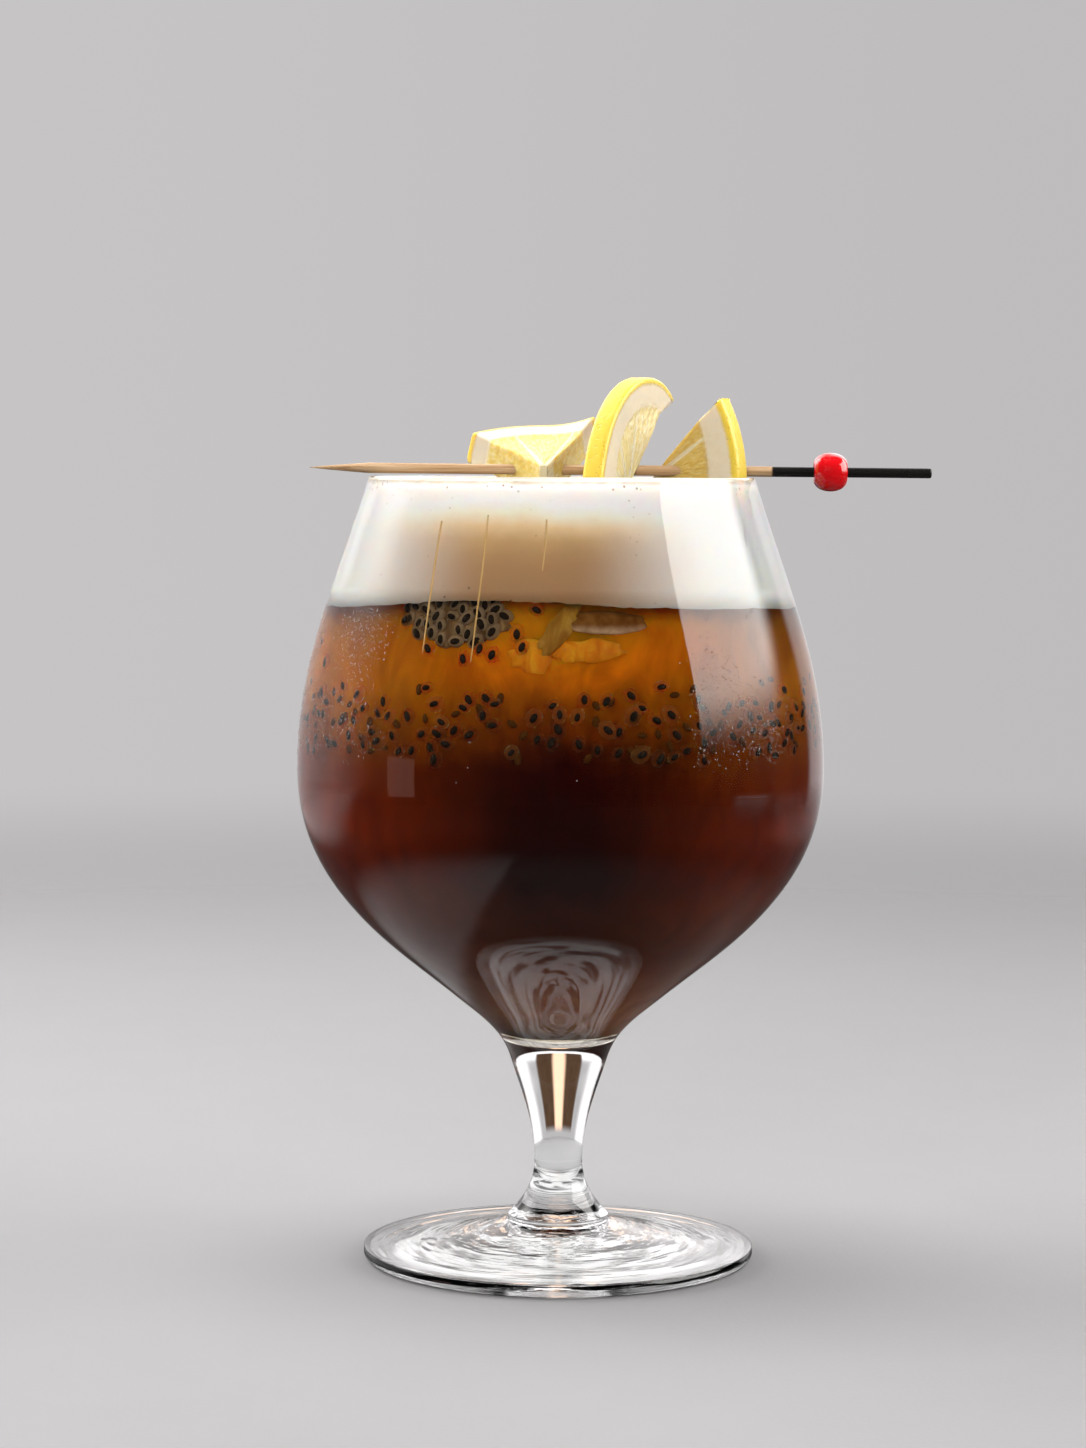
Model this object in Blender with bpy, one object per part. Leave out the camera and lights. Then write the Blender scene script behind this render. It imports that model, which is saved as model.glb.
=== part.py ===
"""Passion fruit iced tea in a short-stemmed goblet.

The glass holds dark tea under a deep layer of pale foam. A bamboo pick with a
red bead lies across the rim and carries three pieces of lemon, whose lower
parts dip into the foam. Seeds and fruit sunk in the tea are not modelled here.

Frame: metres, +Z up, origin at the centre of the foot's flat underside. The
pick lies along +X, with its bead at +X.
"""
import math

import bpy
import bmesh
from mathutils import Matrix, Vector

MM = 0.001

# Glass
RIM_HEIGHT = 153.0 * MM
RIM_THICKNESS = 1.2 * MM
SEGMENTS = 48
HANDLE = 0.36

# Outline stations of the glass: radius, height, heading in degrees
# (0 points outwards, -90 straight down), for the rim, belly, shoulder of the
# underside, cone, neck, waist of the stem and the top of the collar.
OUTER_STATIONS = (
    (37.5 * MM, 152.4 * MM, -73.0),
    (51.2 * MM, 96.5 * MM, -90.0),
    (42.9 * MM, 72.4 * MM, -127.4),
    (20.1 * MM, 51.8 * MM, -140.8),
    (9.5 * MM, 39.8 * MM, -107.4),
    (4.65 * MM, 20.0 * MM, -91.0),
    (8.8 * MM, 9.8 * MM, -45.0),
)
OUTER_STEPS = (8, 5, 5, 4, 4, 5)
# Inside of the bowl: rim, belly, shoulder, cone and the lowest point on the axis.
INNER_STATIONS = (
    (36.3 * MM, 152.4 * MM, -73.0),
    (49.7 * MM, 96.5 * MM, -90.0),
    (41.2 * MM, 73.2 * MM, -127.4),
    (19.2 * MM, 53.3 * MM, -142.0),
    (0.0 * MM, 44.0 * MM, -180.0),
)
INNER_STEPS = (8, 5, 4, 5)
LIP_STEPS = 4
# Foot: radius and height from under the collar, over the edge, to the flat underside.
FOOT_OUTLINE = (
    (9.9 * MM, 8.7 * MM),
    (10.8 * MM, 7.3 * MM),
    (23.6 * MM, 4.1 * MM),
    (36.7 * MM, 3.0 * MM),
    (37.75 * MM, 2.5 * MM),
    (38.1 * MM, 1.5 * MM),
    (37.6 * MM, 0.5 * MM),
    (36.5 * MM, 0.0 * MM),
)

# Contents
GAP = 0.3 * MM
TEA_LEVEL = 129.1 * MM
TEA_BOW = 1.6 * MM
TEA_BOW_REACH = 47.0 * MM
TEA_WAVE = 0.3 * MM
TEA_RINGS = (20.0 * MM, 33.0 * MM)
WALL_MARGIN = 3.2 * MM
FOAM_EDGE_DROP = 0.9 * MM
FOAM_DISH = 0.6 * MM
FOAM_BUMP = 0.2 * MM
FOAM_RINGS = (29.0 * MM, 21.0 * MM, 11.0 * MM)

# Pick and bead
PICK_RADIUS = 1.0 * MM
PICK_TIP_X = -48.8 * MM
PICK_SHOULDER_X = -37.4 * MM
PICK_END_X = 71.6 * MM
PICK_HEIGHT = RIM_HEIGHT + GAP + PICK_RADIUS + 0.05 * MM
PICK_FALL = math.tan(math.radians(0.25))
PICK_SIDES = 12
PICK_TIP_RADIUS = 0.12 * MM
PICK_CHAMFER = 0.3 * MM
HOLE_REACH = 45.0 * MM
BEAD_X = 52.0 * MM
BEAD_LENGTH = 6.5 * MM
BEAD_RADIUS = 3.75 * MM
BEAD_BORE = PICK_RADIUS + GAP
BEAD_SWEEP = math.radians(68.0)
BEAD_FULLNESS = 0.62
BEAD_SIDES = 20
BEAD_STEPS = 8

# Lemon: rind and pith thickness, and the angle of one flesh segment
RIND = 1.6 * MM
PITH = 4.8 * MM
LEMON_SEGMENT = math.radians(36.0)
FLESH_SINK = 0.35 * MM
FLESH_BULGE = 0.45 * MM
CORE_RADIUS = 1.2 * MM
FLESH_SHARES = (0.0, 0.35, 0.7, 0.97)
RIND_BEVEL = 0.9 * MM
SLICE_STEP = math.radians(7.5)


class Slice:
    """One cut piece of a lemon slice.

    hub     where its flesh segments meet, in the world
    turn    heading of its width axis in the floor plane, in degrees
    lean    how far its height axis leans from upright towards the back
    centre  centre of the rind's outline, from the hub, along width and height
    radii   half width and half height of that outline
    arc     first and last angle of the piece about its hub, in degrees
    curl    how the left and right ends bend towards the facing side, per metre
    lip     how far the rind stands past the flesh at the first and last angle
    taper   how far the rind stands out further at the back than on the facing side
    """

    def __init__(self, name, hub, turn, lean, centre, radii, arc, thickness,
                 curl=(0.0, 0.0), lip=(0.0, 0.0), taper=0.0):
        self.name = name
        self.centre = centre
        self.radii = radii
        self.arc = [math.radians(angle) for angle in arc]
        self.thickness = thickness
        self.curl = curl
        self.lip = lip
        self.taper = taper
        frame = (Matrix.Rotation(math.radians(turn), 4, 'Z')
                 @ Matrix.Rotation(math.radians(-lean), 4, 'X'))
        self.matrix = Matrix.Translation(Vector(hub)) @ frame

    def reach(self, angle):
        """Distance from the hub to the rind along one direction."""
        du = math.cos(angle) / self.radii[0]
        dv = math.sin(angle) / self.radii[1]
        hu = -self.centre[0] / self.radii[0]
        hv = -self.centre[1] / self.radii[1]
        a = du * du + dv * dv
        b = hu * du + hv * dv
        c = hu * hu + hv * hv - 1.0
        return (math.sqrt(b * b - a * c) - b) / a

    def place(self, angle, radius, depth):
        """World point of a polar position; depth is positive on the facing side."""
        u = math.cos(angle) * radius
        v = math.sin(angle) * radius
        bend = self.curl[0] if u < 0.0 else self.curl[1]
        return self.matrix @ Vector((u, -depth - bend * u * u, v))


SLICES = (
    Slice('lemon_left', (-3.4 * MM, -8.2 * MM, 151.8 * MM), turn=0.0, lean=70.0,
          centre=(0.0, 0.0), radii=(25.2 * MM, 25.2 * MM), arc=(66.0, 126.0),
          thickness=7.0 * MM, curl=(0.0, 28.0), taper=2.4 * MM),
    Slice('lemon_middle', (10.9 * MM, -3.6 * MM, 150.4 * MM), turn=62.6, lean=0.0,
          centre=(10.0 * MM, -4.0 * MM), radii=(22.5 * MM, 26.0 * MM), arc=(46.6, 200.0),
          thickness=4.2 * MM, lip=(2.2 * MM, 0.0)),
    Slice('lemon_right', (17.9 * MM, 4.7 * MM, 152.0 * MM), turn=-28.0, lean=0.0,
          centre=(-4.1 * MM, -0.6 * MM), radii=(23.4 * MM, 30.0 * MM), arc=(-40.0, 48.0),
          thickness=5.0 * MM, lip=(0.0, -0.6 * MM)),
)

# Colours as red, green, blue
GLASS_COLOUR = (0.93, 0.95, 0.95)
TEA_COLOUR = (0.085, 0.018, 0.006)
FOAM_COLOUR = (0.86, 0.80, 0.72)
BAMBOO_COLOUR = (0.74, 0.50, 0.25)
BEAD_COLOUR = (0.42, 0.008, 0.010)
LEMON_COLOUR = (0.86, 0.66, 0.20)


def clear_scene():
    for obj in list(bpy.data.objects):
        bpy.data.objects.remove(obj, do_unlink=True)


def make_material(name, colour, roughness, metallic=0.0):
    material = bpy.data.materials.new(name)
    material.use_nodes = True
    shader = material.node_tree.nodes['Principled BSDF']
    shader.inputs['Base Color'].default_value = (*colour, 1.0)
    shader.inputs['Roughness'].default_value = roughness
    shader.inputs['Metallic'].default_value = metallic
    return material


def add_object(name, mesh, material, smooth_angle=40.0):
    mesh.materials.append(material)
    mesh.shade_smooth()
    mesh.set_sharp_from_angle(angle=math.radians(smooth_angle))
    obj = bpy.data.objects.new(name, mesh)
    bpy.context.scene.collection.objects.link(obj)
    return obj


def curve_between(start, end, steps):
    """Points of a cubic from one station up to, not including, the next."""
    chord = math.dist(start[:2], end[:2])
    points = []
    for step in range(steps):
        t = step / steps
        point = []
        for axis, trig in ((0, math.cos), (1, math.sin)):
            leave = start[axis] + HANDLE * chord * trig(math.radians(start[2]))
            arrive = end[axis] - HANDLE * chord * trig(math.radians(end[2]))
            point.append((1 - t) ** 3 * start[axis] + 3 * (1 - t) ** 2 * t * leave
                         + 3 * (1 - t) * t * t * arrive + t ** 3 * end[axis])
        points.append(tuple(point))
    return points


def smooth_outline(stations, steps):
    points = []
    for start, end, count in zip(stations, stations[1:], steps):
        points += curve_between(start, end, count)
    points.append(stations[-1][:2])
    return points


def inset(points, distance):
    """Move an outline that runs down the inside of the bowl away from the wall."""
    moved = []
    for index, (radius, height) in enumerate(points):
        before = points[max(index - 1, 0)]
        after = points[min(index + 1, len(points) - 1)]
        run = (after[0] - before[0], after[1] - before[1])
        size = math.hypot(*run)
        moved.append((max(radius + distance * run[1] / size, 0.0),
                      height - distance * run[0] / size))
    return moved


def radius_at(points, height):
    """Radius of an outline at a height; the outline runs from top to bottom."""
    for (r0, z0), (r1, z1) in zip(points, points[1:]):
        if z1 <= height <= z0:
            share = (z0 - height) / (z0 - z1)
            return r0 + (r1 - r0) * share
    return points[0][0]


def turn_direction(segment):
    angle = 2.0 * math.pi * segment / SEGMENTS
    return math.cos(angle), math.sin(angle)


def solid_from_rings(name, rings, cap_first=None, cap_last=None):
    """Join rings of equal count; each end closes to a point, or to the other end."""
    bm = bmesh.new()
    rows = [[bm.verts.new(point) for point in ring] for ring in rings]
    count = len(rows[0])
    pairs = list(zip(rows, rows[1:]))
    if cap_first is None:
        pairs.append((rows[-1], rows[0]))
    for upper, lower in pairs:
        for k in range(count):
            n = (k + 1) % count
            bm.faces.new((upper[k], lower[k], lower[n], upper[n]))
    if cap_first is not None:
        tops = bm.verts.new(cap_first)
        ends = bm.verts.new(cap_last)
        for k in range(count):
            n = (k + 1) % count
            bm.faces.new((tops, rows[0][k], rows[0][n]))
            bm.faces.new((ends, rows[-1][n], rows[-1][k]))
    bmesh.ops.recalc_face_normals(bm, faces=bm.faces)
    mesh = bpy.data.meshes.new(name)
    bm.to_mesh(mesh)
    bm.free()
    return mesh


def level_ring(radius, height):
    return [(radius * c, radius * s, height)
            for c, s in (turn_direction(k) for k in range(SEGMENTS))]


def make_glass():
    lip_radius = RIM_THICKNESS / 2.0
    lip_centre = (OUTER_STATIONS[0][0] + INNER_STATIONS[0][0]) / 2.0
    lip_height = OUTER_STATIONS[0][1]
    lip = []
    for step in range(1, LIP_STEPS):
        angle = math.pi * (1.0 - step / LIP_STEPS)
        lip.append((lip_centre + lip_radius * math.cos(angle),
                    lip_height + lip_radius * math.sin(angle)))
    inner = smooth_outline(INNER_STATIONS, INNER_STEPS)
    outer = smooth_outline(OUTER_STATIONS, OUTER_STEPS)
    outline = inner[-2::-1] + lip + outer + list(FOOT_OUTLINE)
    rings = [level_ring(radius, height) for radius, height in outline]
    bowl_floor = (0.0, 0.0, inner[-1][1])
    mesh = solid_from_rings('glass', rings, bowl_floor, (0.0, 0.0, 0.0))
    return add_object('glass', mesh, make_material('clear_glass', GLASS_COLOUR, 0.03))


def tea_surface(x, y):
    """Height of the line between tea and foam: higher at front and back, with a slow swell."""
    swell = (math.sin(38.0 * x + 1.1) * math.cos(46.0 * y - 0.4)
             + 0.6 * math.sin(92.0 * x - 71.0 * y + 0.7))
    return TEA_LEVEL + TEA_BOW * (y / TEA_BOW_REACH) ** 2 + TEA_WAVE * swell


def foam_surface(x, y):
    """Height of the top of the foam: low in the middle, with soft bumps."""
    edge = math.hypot(x, y) / INNER_STATIONS[0][0]
    bumps = math.sin(210.0 * x + 0.8) * math.sin(240.0 * y) + math.sin(330.0 * x - 150.0 * y)
    dish = FOAM_DISH * (1.0 - edge ** 2)
    return RIM_HEIGHT - FOAM_EDGE_DROP - dish + FOAM_BUMP * bumps * (1.0 - edge ** 4)


def surface_ring(radius, surface, lift=0.0):
    ring = []
    for x, y, _ in level_ring(radius, 0.0):
        ring.append((x, y, surface(x, y) + lift))
    return ring


def wall_ring(wall, surface, lift=0.0):
    """Ring where a surface meets the wall outline."""
    radius = radius_at(wall, surface(0.0, 0.0))
    ring = []
    for c, s in (turn_direction(k) for k in range(SEGMENTS)):
        height = surface(radius * c, radius * s) + lift
        local = radius_at(wall, height)
        ring.append((local * c, local * s, height))
    return ring


def wall_outline():
    return inset(smooth_outline(INNER_STATIONS, INNER_STEPS), GAP)


def make_tea():
    wall = wall_outline()
    top = [surface_ring(radius, tea_surface) for radius in TEA_RINGS]
    side = [level_ring(r, z) for r, z in wall[:-1] if z < TEA_LEVEL - WALL_MARGIN]
    rings = top + [wall_ring(wall, tea_surface)] + side
    mesh = solid_from_rings('tea', rings, (0.0, 0.0, tea_surface(0.0, 0.0)),
                            (0.0, 0.0, wall[-1][1]))
    return add_object('tea', mesh, make_material('dark_tea', TEA_COLOUR, 0.1))


def make_foam(cutters):
    wall = wall_outline()
    bottom = [surface_ring(radius, tea_surface, GAP) for radius in TEA_RINGS]
    side = [level_ring(r, z) for r, z in reversed(wall)
            if TEA_LEVEL + WALL_MARGIN < z < RIM_HEIGHT - WALL_MARGIN]
    top = [surface_ring(radius, foam_surface) for radius in FOAM_RINGS]
    rings = (bottom + [wall_ring(wall, tea_surface, GAP)] + side
             + [wall_ring(wall, foam_surface)] + top)
    mesh = solid_from_rings('foam', rings, (0.0, 0.0, tea_surface(0.0, 0.0) + GAP),
                            (0.0, 0.0, foam_surface(0.0, 0.0)))
    foam = add_object('foam', mesh, make_material('pale_foam', FOAM_COLOUR, 0.6), 60.0)
    for cutter in cutters:
        cut_with(foam, cutter)
    return foam


def cut_with(obj, cutter):
    cutter.hide_render = True
    cutter.display_type = 'WIRE'
    modifier = obj.modifiers.new('cut_' + cutter.name, 'BOOLEAN')
    modifier.operation = 'DIFFERENCE'
    modifier.solver = 'EXACT'
    modifier.object = cutter


def flesh_relief(angle, share):
    """Depth change of a cut face: flesh lies low and swells between membranes."""
    phase = (angle % LEMON_SEGMENT) / LEMON_SEGMENT
    return FLESH_BULGE * math.sin(math.pi * phase) ** 0.7 * math.sin(math.pi * share) - FLESH_SINK


def slice_mesh(piece, name, grow=0.0):
    """Closed mesh of one lemon piece, made larger all over by grow."""
    steps = max(4, round((piece.arc[1] - piece.arc[0]) / SLICE_STEP))
    half = piece.thickness / 2.0 + grow
    rows = []
    for step in range(steps + 1):
        angle = piece.arc[0] + (piece.arc[1] - piece.arc[0]) * step / steps
        reach = piece.reach(angle) + grow
        flesh = reach - RIND - PITH
        swing = {0: -grow, steps: grow}.get(step, 0.0)
        stand = {0: -piece.lip[0], steps: piece.lip[1]}.get(step, 0.0)
        faces = []
        for share in FLESH_SHARES:
            radius = CORE_RADIUS + (flesh - CORE_RADIUS) * share
            relief = 0.0 if grow else flesh_relief(angle, share)
            faces.append((radius, half + relief))
        faces.append((flesh + 0.5 * MM, half))
        faces.append((reach - RIND_BEVEL, half))
        faces.append((reach - 0.2 * RIND_BEVEL, half * 0.78))
        outline = faces + [(reach, 0.0)] + [(r, -d) for r, d in reversed(faces)]
        row = []
        for radius, depth in outline:
            slide = swing + stand * max(0.0, min(1.0, (radius - flesh) / PITH))
            shift = math.asin(max(-0.9, min(0.9, slide / radius)))
            spread = 1.0 - 0.5 * piece.taper / reach * depth / half
            row.append(piece.place(angle + shift, radius * spread, depth))
        rows.append(row)
    bm = bmesh.new()
    grid = [[bm.verts.new(point) for point in row] for row in rows]
    count = len(grid[0])
    for left, right in zip(grid, grid[1:]):
        for k in range(count):
            n = (k + 1) % count
            bm.faces.new((left[k], left[n], right[n], right[k]))
    for row in (grid[0], grid[-1]):
        for k in range(count // 2):
            lower, upper = count - 1 - k, count - 2 - k
            if upper == k + 1:
                bm.faces.new((row[k], row[k + 1], row[lower]))
                break
            bm.faces.new((row[k], row[k + 1], row[upper], row[lower]))
    bmesh.ops.triangulate(bm, faces=bm.faces)
    bmesh.ops.recalc_face_normals(bm, faces=bm.faces)
    mesh = bpy.data.meshes.new(name)
    bm.to_mesh(mesh)
    bm.free()
    return mesh


def axis_height(x):
    """Height of the pick's axis, which falls a little towards the bead."""
    return PICK_HEIGHT - PICK_FALL * x


def rod_mesh(name, stations, sides, closed=True):
    """Turned shape about the pick's axis; stations are x and radius."""
    rings = []
    for x, radius in stations:
        ring = []
        for k in range(sides):
            angle = 2.0 * math.pi * k / sides
            ring.append((x, radius * math.cos(angle), axis_height(x) + radius * math.sin(angle)))
        rings.append(ring)
    if closed:
        first = (stations[0][0], 0.0, axis_height(stations[0][0]))
        last = (stations[-1][0], 0.0, axis_height(stations[-1][0]))
        return solid_from_rings(name, rings, first, last)
    return solid_from_rings(name, rings)


def make_pick():
    taper = PICK_SHOULDER_X - PICK_TIP_X
    stations = [(PICK_TIP_X, PICK_TIP_RADIUS)]
    for share in (0.2, 0.45, 0.7, 1.0):
        stations.append((PICK_TIP_X + taper * share, PICK_RADIUS * share ** 0.8))
    stations += [(PICK_END_X - PICK_CHAMFER, PICK_RADIUS),
                 (PICK_END_X, PICK_RADIUS - PICK_CHAMFER)]
    mesh = rod_mesh('pick', stations, PICK_SIDES)
    return add_object('pick', mesh, make_material('bamboo', BAMBOO_COLOUR, 0.45))


def make_bead():
    half = BEAD_LENGTH / 2.0
    stations = []
    for step in range(BEAD_STEPS + 1):
        angle = BEAD_SWEEP * (2.0 * step / BEAD_STEPS - 1.0)
        x = BEAD_X + half * math.sin(angle) / math.sin(BEAD_SWEEP)
        stations.append((x, BEAD_RADIUS * math.cos(angle) ** BEAD_FULLNESS))
    stations += [(BEAD_X + half, BEAD_BORE), (BEAD_X - half, BEAD_BORE)]
    mesh = rod_mesh('bead', stations, BEAD_SIDES, closed=False)
    return add_object('bead', mesh, make_material('red_bead', BEAD_COLOUR, 0.12))


def make_lemon(piece, drill):
    mesh = slice_mesh(piece, piece.name)
    material = make_material(piece.name + '_flesh', LEMON_COLOUR, 0.35)
    lemon = add_object(piece.name, mesh, material, 35.0)
    cut_with(lemon, drill)
    return lemon


def main():
    clear_scene()
    make_glass()
    make_tea()
    make_pick()
    make_bead()
    cutter_material = make_material('cutter', FOAM_COLOUR, 0.5)
    drill_radius = (PICK_RADIUS + GAP) / math.cos(math.pi / PICK_SIDES)
    drill_ends = [(-HOLE_REACH, drill_radius), (HOLE_REACH, drill_radius)]
    drill_mesh = rod_mesh('pick_hole', drill_ends, PICK_SIDES)
    drill = add_object('pick_hole', drill_mesh, cutter_material)
    foam_cutters = []
    for piece in SLICES:
        make_lemon(piece, drill)
        name = piece.name + '_room'
        foam_cutters.append(add_object(name, slice_mesh(piece, name, GAP), cutter_material))
    make_foam(foam_cutters)


main()
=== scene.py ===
"""Passion fruit iced tea in a goblet: the looks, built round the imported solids.

Metres, +Z up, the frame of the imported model. The glass, tea, foam, pick, bead
and lemon pieces are finer meshes of the same forms as the solids they replace.
Seeds, sunk fruit and ice, golden runs and drops of condensation are added here.
"""

import math
import random

import bpy
import bmesh
from mathutils import Matrix, Vector, noise


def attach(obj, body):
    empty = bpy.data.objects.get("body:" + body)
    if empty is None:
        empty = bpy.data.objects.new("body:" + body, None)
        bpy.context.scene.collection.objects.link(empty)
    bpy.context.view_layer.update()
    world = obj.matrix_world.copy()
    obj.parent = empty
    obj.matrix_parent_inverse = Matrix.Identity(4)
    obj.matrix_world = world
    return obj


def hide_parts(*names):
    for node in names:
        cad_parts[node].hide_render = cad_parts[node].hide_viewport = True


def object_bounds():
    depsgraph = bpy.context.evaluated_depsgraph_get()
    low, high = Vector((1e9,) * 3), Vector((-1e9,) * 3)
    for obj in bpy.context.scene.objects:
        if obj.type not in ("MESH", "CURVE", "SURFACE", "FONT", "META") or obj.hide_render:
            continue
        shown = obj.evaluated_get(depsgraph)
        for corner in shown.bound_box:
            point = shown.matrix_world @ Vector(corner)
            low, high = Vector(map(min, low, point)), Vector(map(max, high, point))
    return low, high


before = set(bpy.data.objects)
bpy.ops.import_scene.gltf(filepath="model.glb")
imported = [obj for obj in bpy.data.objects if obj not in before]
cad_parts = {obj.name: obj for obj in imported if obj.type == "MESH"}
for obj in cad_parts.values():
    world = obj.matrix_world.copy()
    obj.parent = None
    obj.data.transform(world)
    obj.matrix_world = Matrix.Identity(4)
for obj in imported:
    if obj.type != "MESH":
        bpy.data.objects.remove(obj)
CAD_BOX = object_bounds()

MM = 0.001
BODY = 'root'


def in_metres(rows):
    """Rows with their first two entries turned from millimetres into metres."""
    return tuple((row[0] * MM, row[1] * MM, *row[2:]) for row in rows)


# Photograph: its size in pixels, the camera that saw it, and how a spot in it is found
PHOTO_WIDTH = 1086
PHOTO_HEIGHT = 1448
SENSOR = 36.0
CAMERA_LENS = 91.6
CAMERA_PLACE = (0.0, -0.7155, 0.1555)
CAMERA_TILT = math.radians(4.04)
CAMERA_ROLL = math.radians(-0.3)
AXIS_SHIFT_PIXELS = -19.0
FOCAL_PIXELS = CAMERA_LENS / SENSOR * PHOTO_HEIGHT
SPOT_START = 0.11
SPOT_ROUNDS = 8

# Glass: stations are radius and height in millimetres and heading of the outline in degrees
RIM_HEIGHT = 153.0 * MM
RIM_THICKNESS = 1.2 * MM
HANDLE = 0.36
OUTER_STATIONS = in_metres((
    (37.5, 152.4, -73.0), (51.2, 96.5, -90.0), (42.9, 72.4, -127.4), (20.1, 51.8, -140.8),
    (9.5, 39.8, -107.4), (4.65, 20.0, -91.0), (8.8, 9.8, -45.0)))
INNER_STATIONS = in_metres((
    (36.3, 152.4, -73.0), (49.7, 96.5, -90.0), (41.2, 73.2, -127.4), (19.2, 53.3, -142.0),
    (0.0, 44.0, -180.0)))
FOOT_OUTLINE = in_metres((
    (9.9, 8.7), (10.8, 7.3), (23.6, 4.1), (36.7, 3.0), (37.75, 2.5), (38.1, 1.5),
    (37.6, 0.5), (36.5, 0.0)))
FOOT_UNDERSIDE = in_metres((
    (36.5, 0.0), (35.5, 0.12), (31.0, 0.65), (23.6, 1.4), (17.0, 2.5), (12.0, 3.7),
    (8.0, 4.5), (4.0, 4.9), (0.0, 5.0)))
OUTLINE_STEPS = 18
FOOT_STEPS = 7
UNDERSIDE_STEPS = 6
LIP_STEPS = 10
SEGMENTS = 240
INTO_WALL = 0.35 * MM
WETTED_REACH = 0.2 * MM
ROUNDING = 0.001 * MM
GLASS_IOR = 1.5
TEA_IOR = 1.34

# Contents
TEA_LEVEL = 129.1 * MM
TEA_BOW = 1.6 * MM
TEA_BOW_REACH = 47.0 * MM
TEA_WAVE = 0.3 * MM
TEA_DIP = 1.1 * MM
TEA_DIP_FROM = 10.0 * MM
TEA_DIP_REACH = 22.0 * MM
TEA_RIPPLE = 0.22 * MM
TEA_TOP_RADIUS = 46.0 * MM
TEA_TOP_SHARES = (0.2, 0.4, 0.6, 0.8, 0.93)
TEA_INTO_FOAM = 0.3 * MM
TEA_SIDE_GAP = 2.6 * MM
TEA_COLOUR = (0.90, 0.72, 0.25)
TEA_DENSITY = 60.0
MURK_TOP_RADIUS = 42.0 * MM
MURK_BELOW_FOAM = 0.6 * MM
MURK_SIDE_GAP = 2.8 * MM
MURK_LEAST_RADIUS = 1.5 * MM
MURK_FLOOR_SLOPE = 0.02
MURK_SINK = 4.4 * MM
MURK_SINK_LOW = 1.3 * MM
MURK_BEND_TOP = 96.0 * MM
MURK_BEND_LOW = 84.0 * MM
FOAM_EDGE_DROP = 0.9 * MM
FOAM_DISH = 0.6 * MM
FOAM_BUMP = 0.2 * MM
FOAM_FROTH = 0.25 * MM
FOAM_LOW_GAP = 3.2 * MM
FOAM_HIGH_GAP = 2.8 * MM
FOAM_LOW_SHARES = (0.3, 0.6, 0.85)
FOAM_SIDE_STEPS = 28
FOAM_TOP_STEPS = 60

# Seeds that stand out in the photograph, in its pixels
PALE_SEEDS = ((641, 754), (561, 715), (608, 730), (395, 717))
CLEAR_SEEDS = (
    (335, 645), (337, 665), (322, 750), (345, 745), (411, 622), (585, 700), (538, 611),
    (530, 618), (519, 635), (524, 648), (483, 650), (495, 656), (467, 660), (433, 650))

# Seeds: half sizes and depths past the wall in millimetres, and gaps between them
SEEDS_DRAW = 11
KERNEL_AXES = (0.62, 0.45, 0.97)
KERNEL_UNEVEN = 0.10
SAC_AXES = (1.2, 0.95, 1.5)
SAC_UNEVEN = 0.16
SEED_SIZES = (0.82, 1.12)
SEED_LEAN = 0.4
SEED_ROLL = 0.75
PALE_SAC_SIZE = 1.2
KERNEL_OUTWARD = 0.75 * MM
BUBBLE_SIZES = (0.05, 0.11)
BUBBLES_ON_PALE = 5
BUBBLES_ON_CLEAR = (0, 0, 1, 3)
BUBBLES_IN_CLUSTER = 1
SEEN_SINK = 1.7 * MM
SEEN_GAP = 2.0 * MM
CLUSTER_GAP = 1.95 * MM
CLUSTER_TRIES = 1500
CLUSTER_DEPTHS = (0.0, 0.4)
BAND_GAP = 2.35 * MM
BAND_TRIES = 4200
BAND_HEIGHT = 107.0 * MM
BAND_SPREAD = 3.5 * MM
BAND_LOW = 100.6 * MM
BAND_HIGH = 115.0 * MM
BAND_DEPTHS = (1.7, 2.2, 2.8, 3.4)
DEEP_DEPTHS = (3.9, 4.4)
PALE_CHANCE = 0.10
PALE_OR_DEEP_CHANCE = 0.42
SEED_LIMIT = 430

# Jelly with the cluster of seeds: centre and half size in pixels, and its turned copy
GEL_CENTRE = (462.0, 619.0)
GEL_HALF = (46.0, 29.0)
GEL_SINK = 4.6 * MM
GEL_RISE = 2.0 * MM
GEL_TURN = 0.1
GEL_REPEAT = 2.25

# Lumps of fruit and ice: centre and half size in pixels, turn, thickness, depth, noise seed,
# and unevenness where it isn't LUMP_UNEVEN
CITRUS_LOBES = (((533.0, 658.0), (22.0, 18.0), 0.3, 1.1 * MM, 4.8 * MM, 1.0),
                ((588.0, 653.0), (38.0, 13.0), -0.05, 0.9 * MM, 4.75 * MM, 2.0))
CITRUS_BEHIND = ((560.0, 652.0), (46.0, 22.0), 0.2, 1.1 * MM, 4.8 * MM, 5.0)
CITRUS_SKIN = ((561.0, 631.0), (11.0, 33.0), 0.6, 1.0 * MM, 4.3 * MM, 7.0)
ICE_SLIVER = ((604.0, 625.0), (42.0, 12.0), 0.03, 1.3 * MM, 4.5 * MM, 9.0, 0.16)
CITRUS_REPEAT = 2.8
SKIN_REPEAT = 2.9
ICE_REPEAT = -2.3
LUMP_UNEVEN = 0.34
LUMP_GRAIN = 0.3
LUMP_RINGS = 16
LUMP_SIDES = 44

# Golden runs: lines and half widths in pixels, and depth in from the wall, negative in the glass
RUN_LINES = (((446, 522), (440, 560), (433, 610), (427, 655)),
             ((492, 516), (487, 565), (481, 615), (475, 664)),
             ((550, 520), (549, 545), (546, 572)))
RUN_SHIFT = -3.0
RUN_STEPS = 12
RUN_SIDES = 8
RUN_HALF = 0.85
RUN_LEAST_HALF = 0.15
RUN_DEPTH = -0.62 * MM
RUN_THICKNESS = 0.07 * MM
RUN_START = 0.12
RUN_FULLNESS = 0.4

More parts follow.
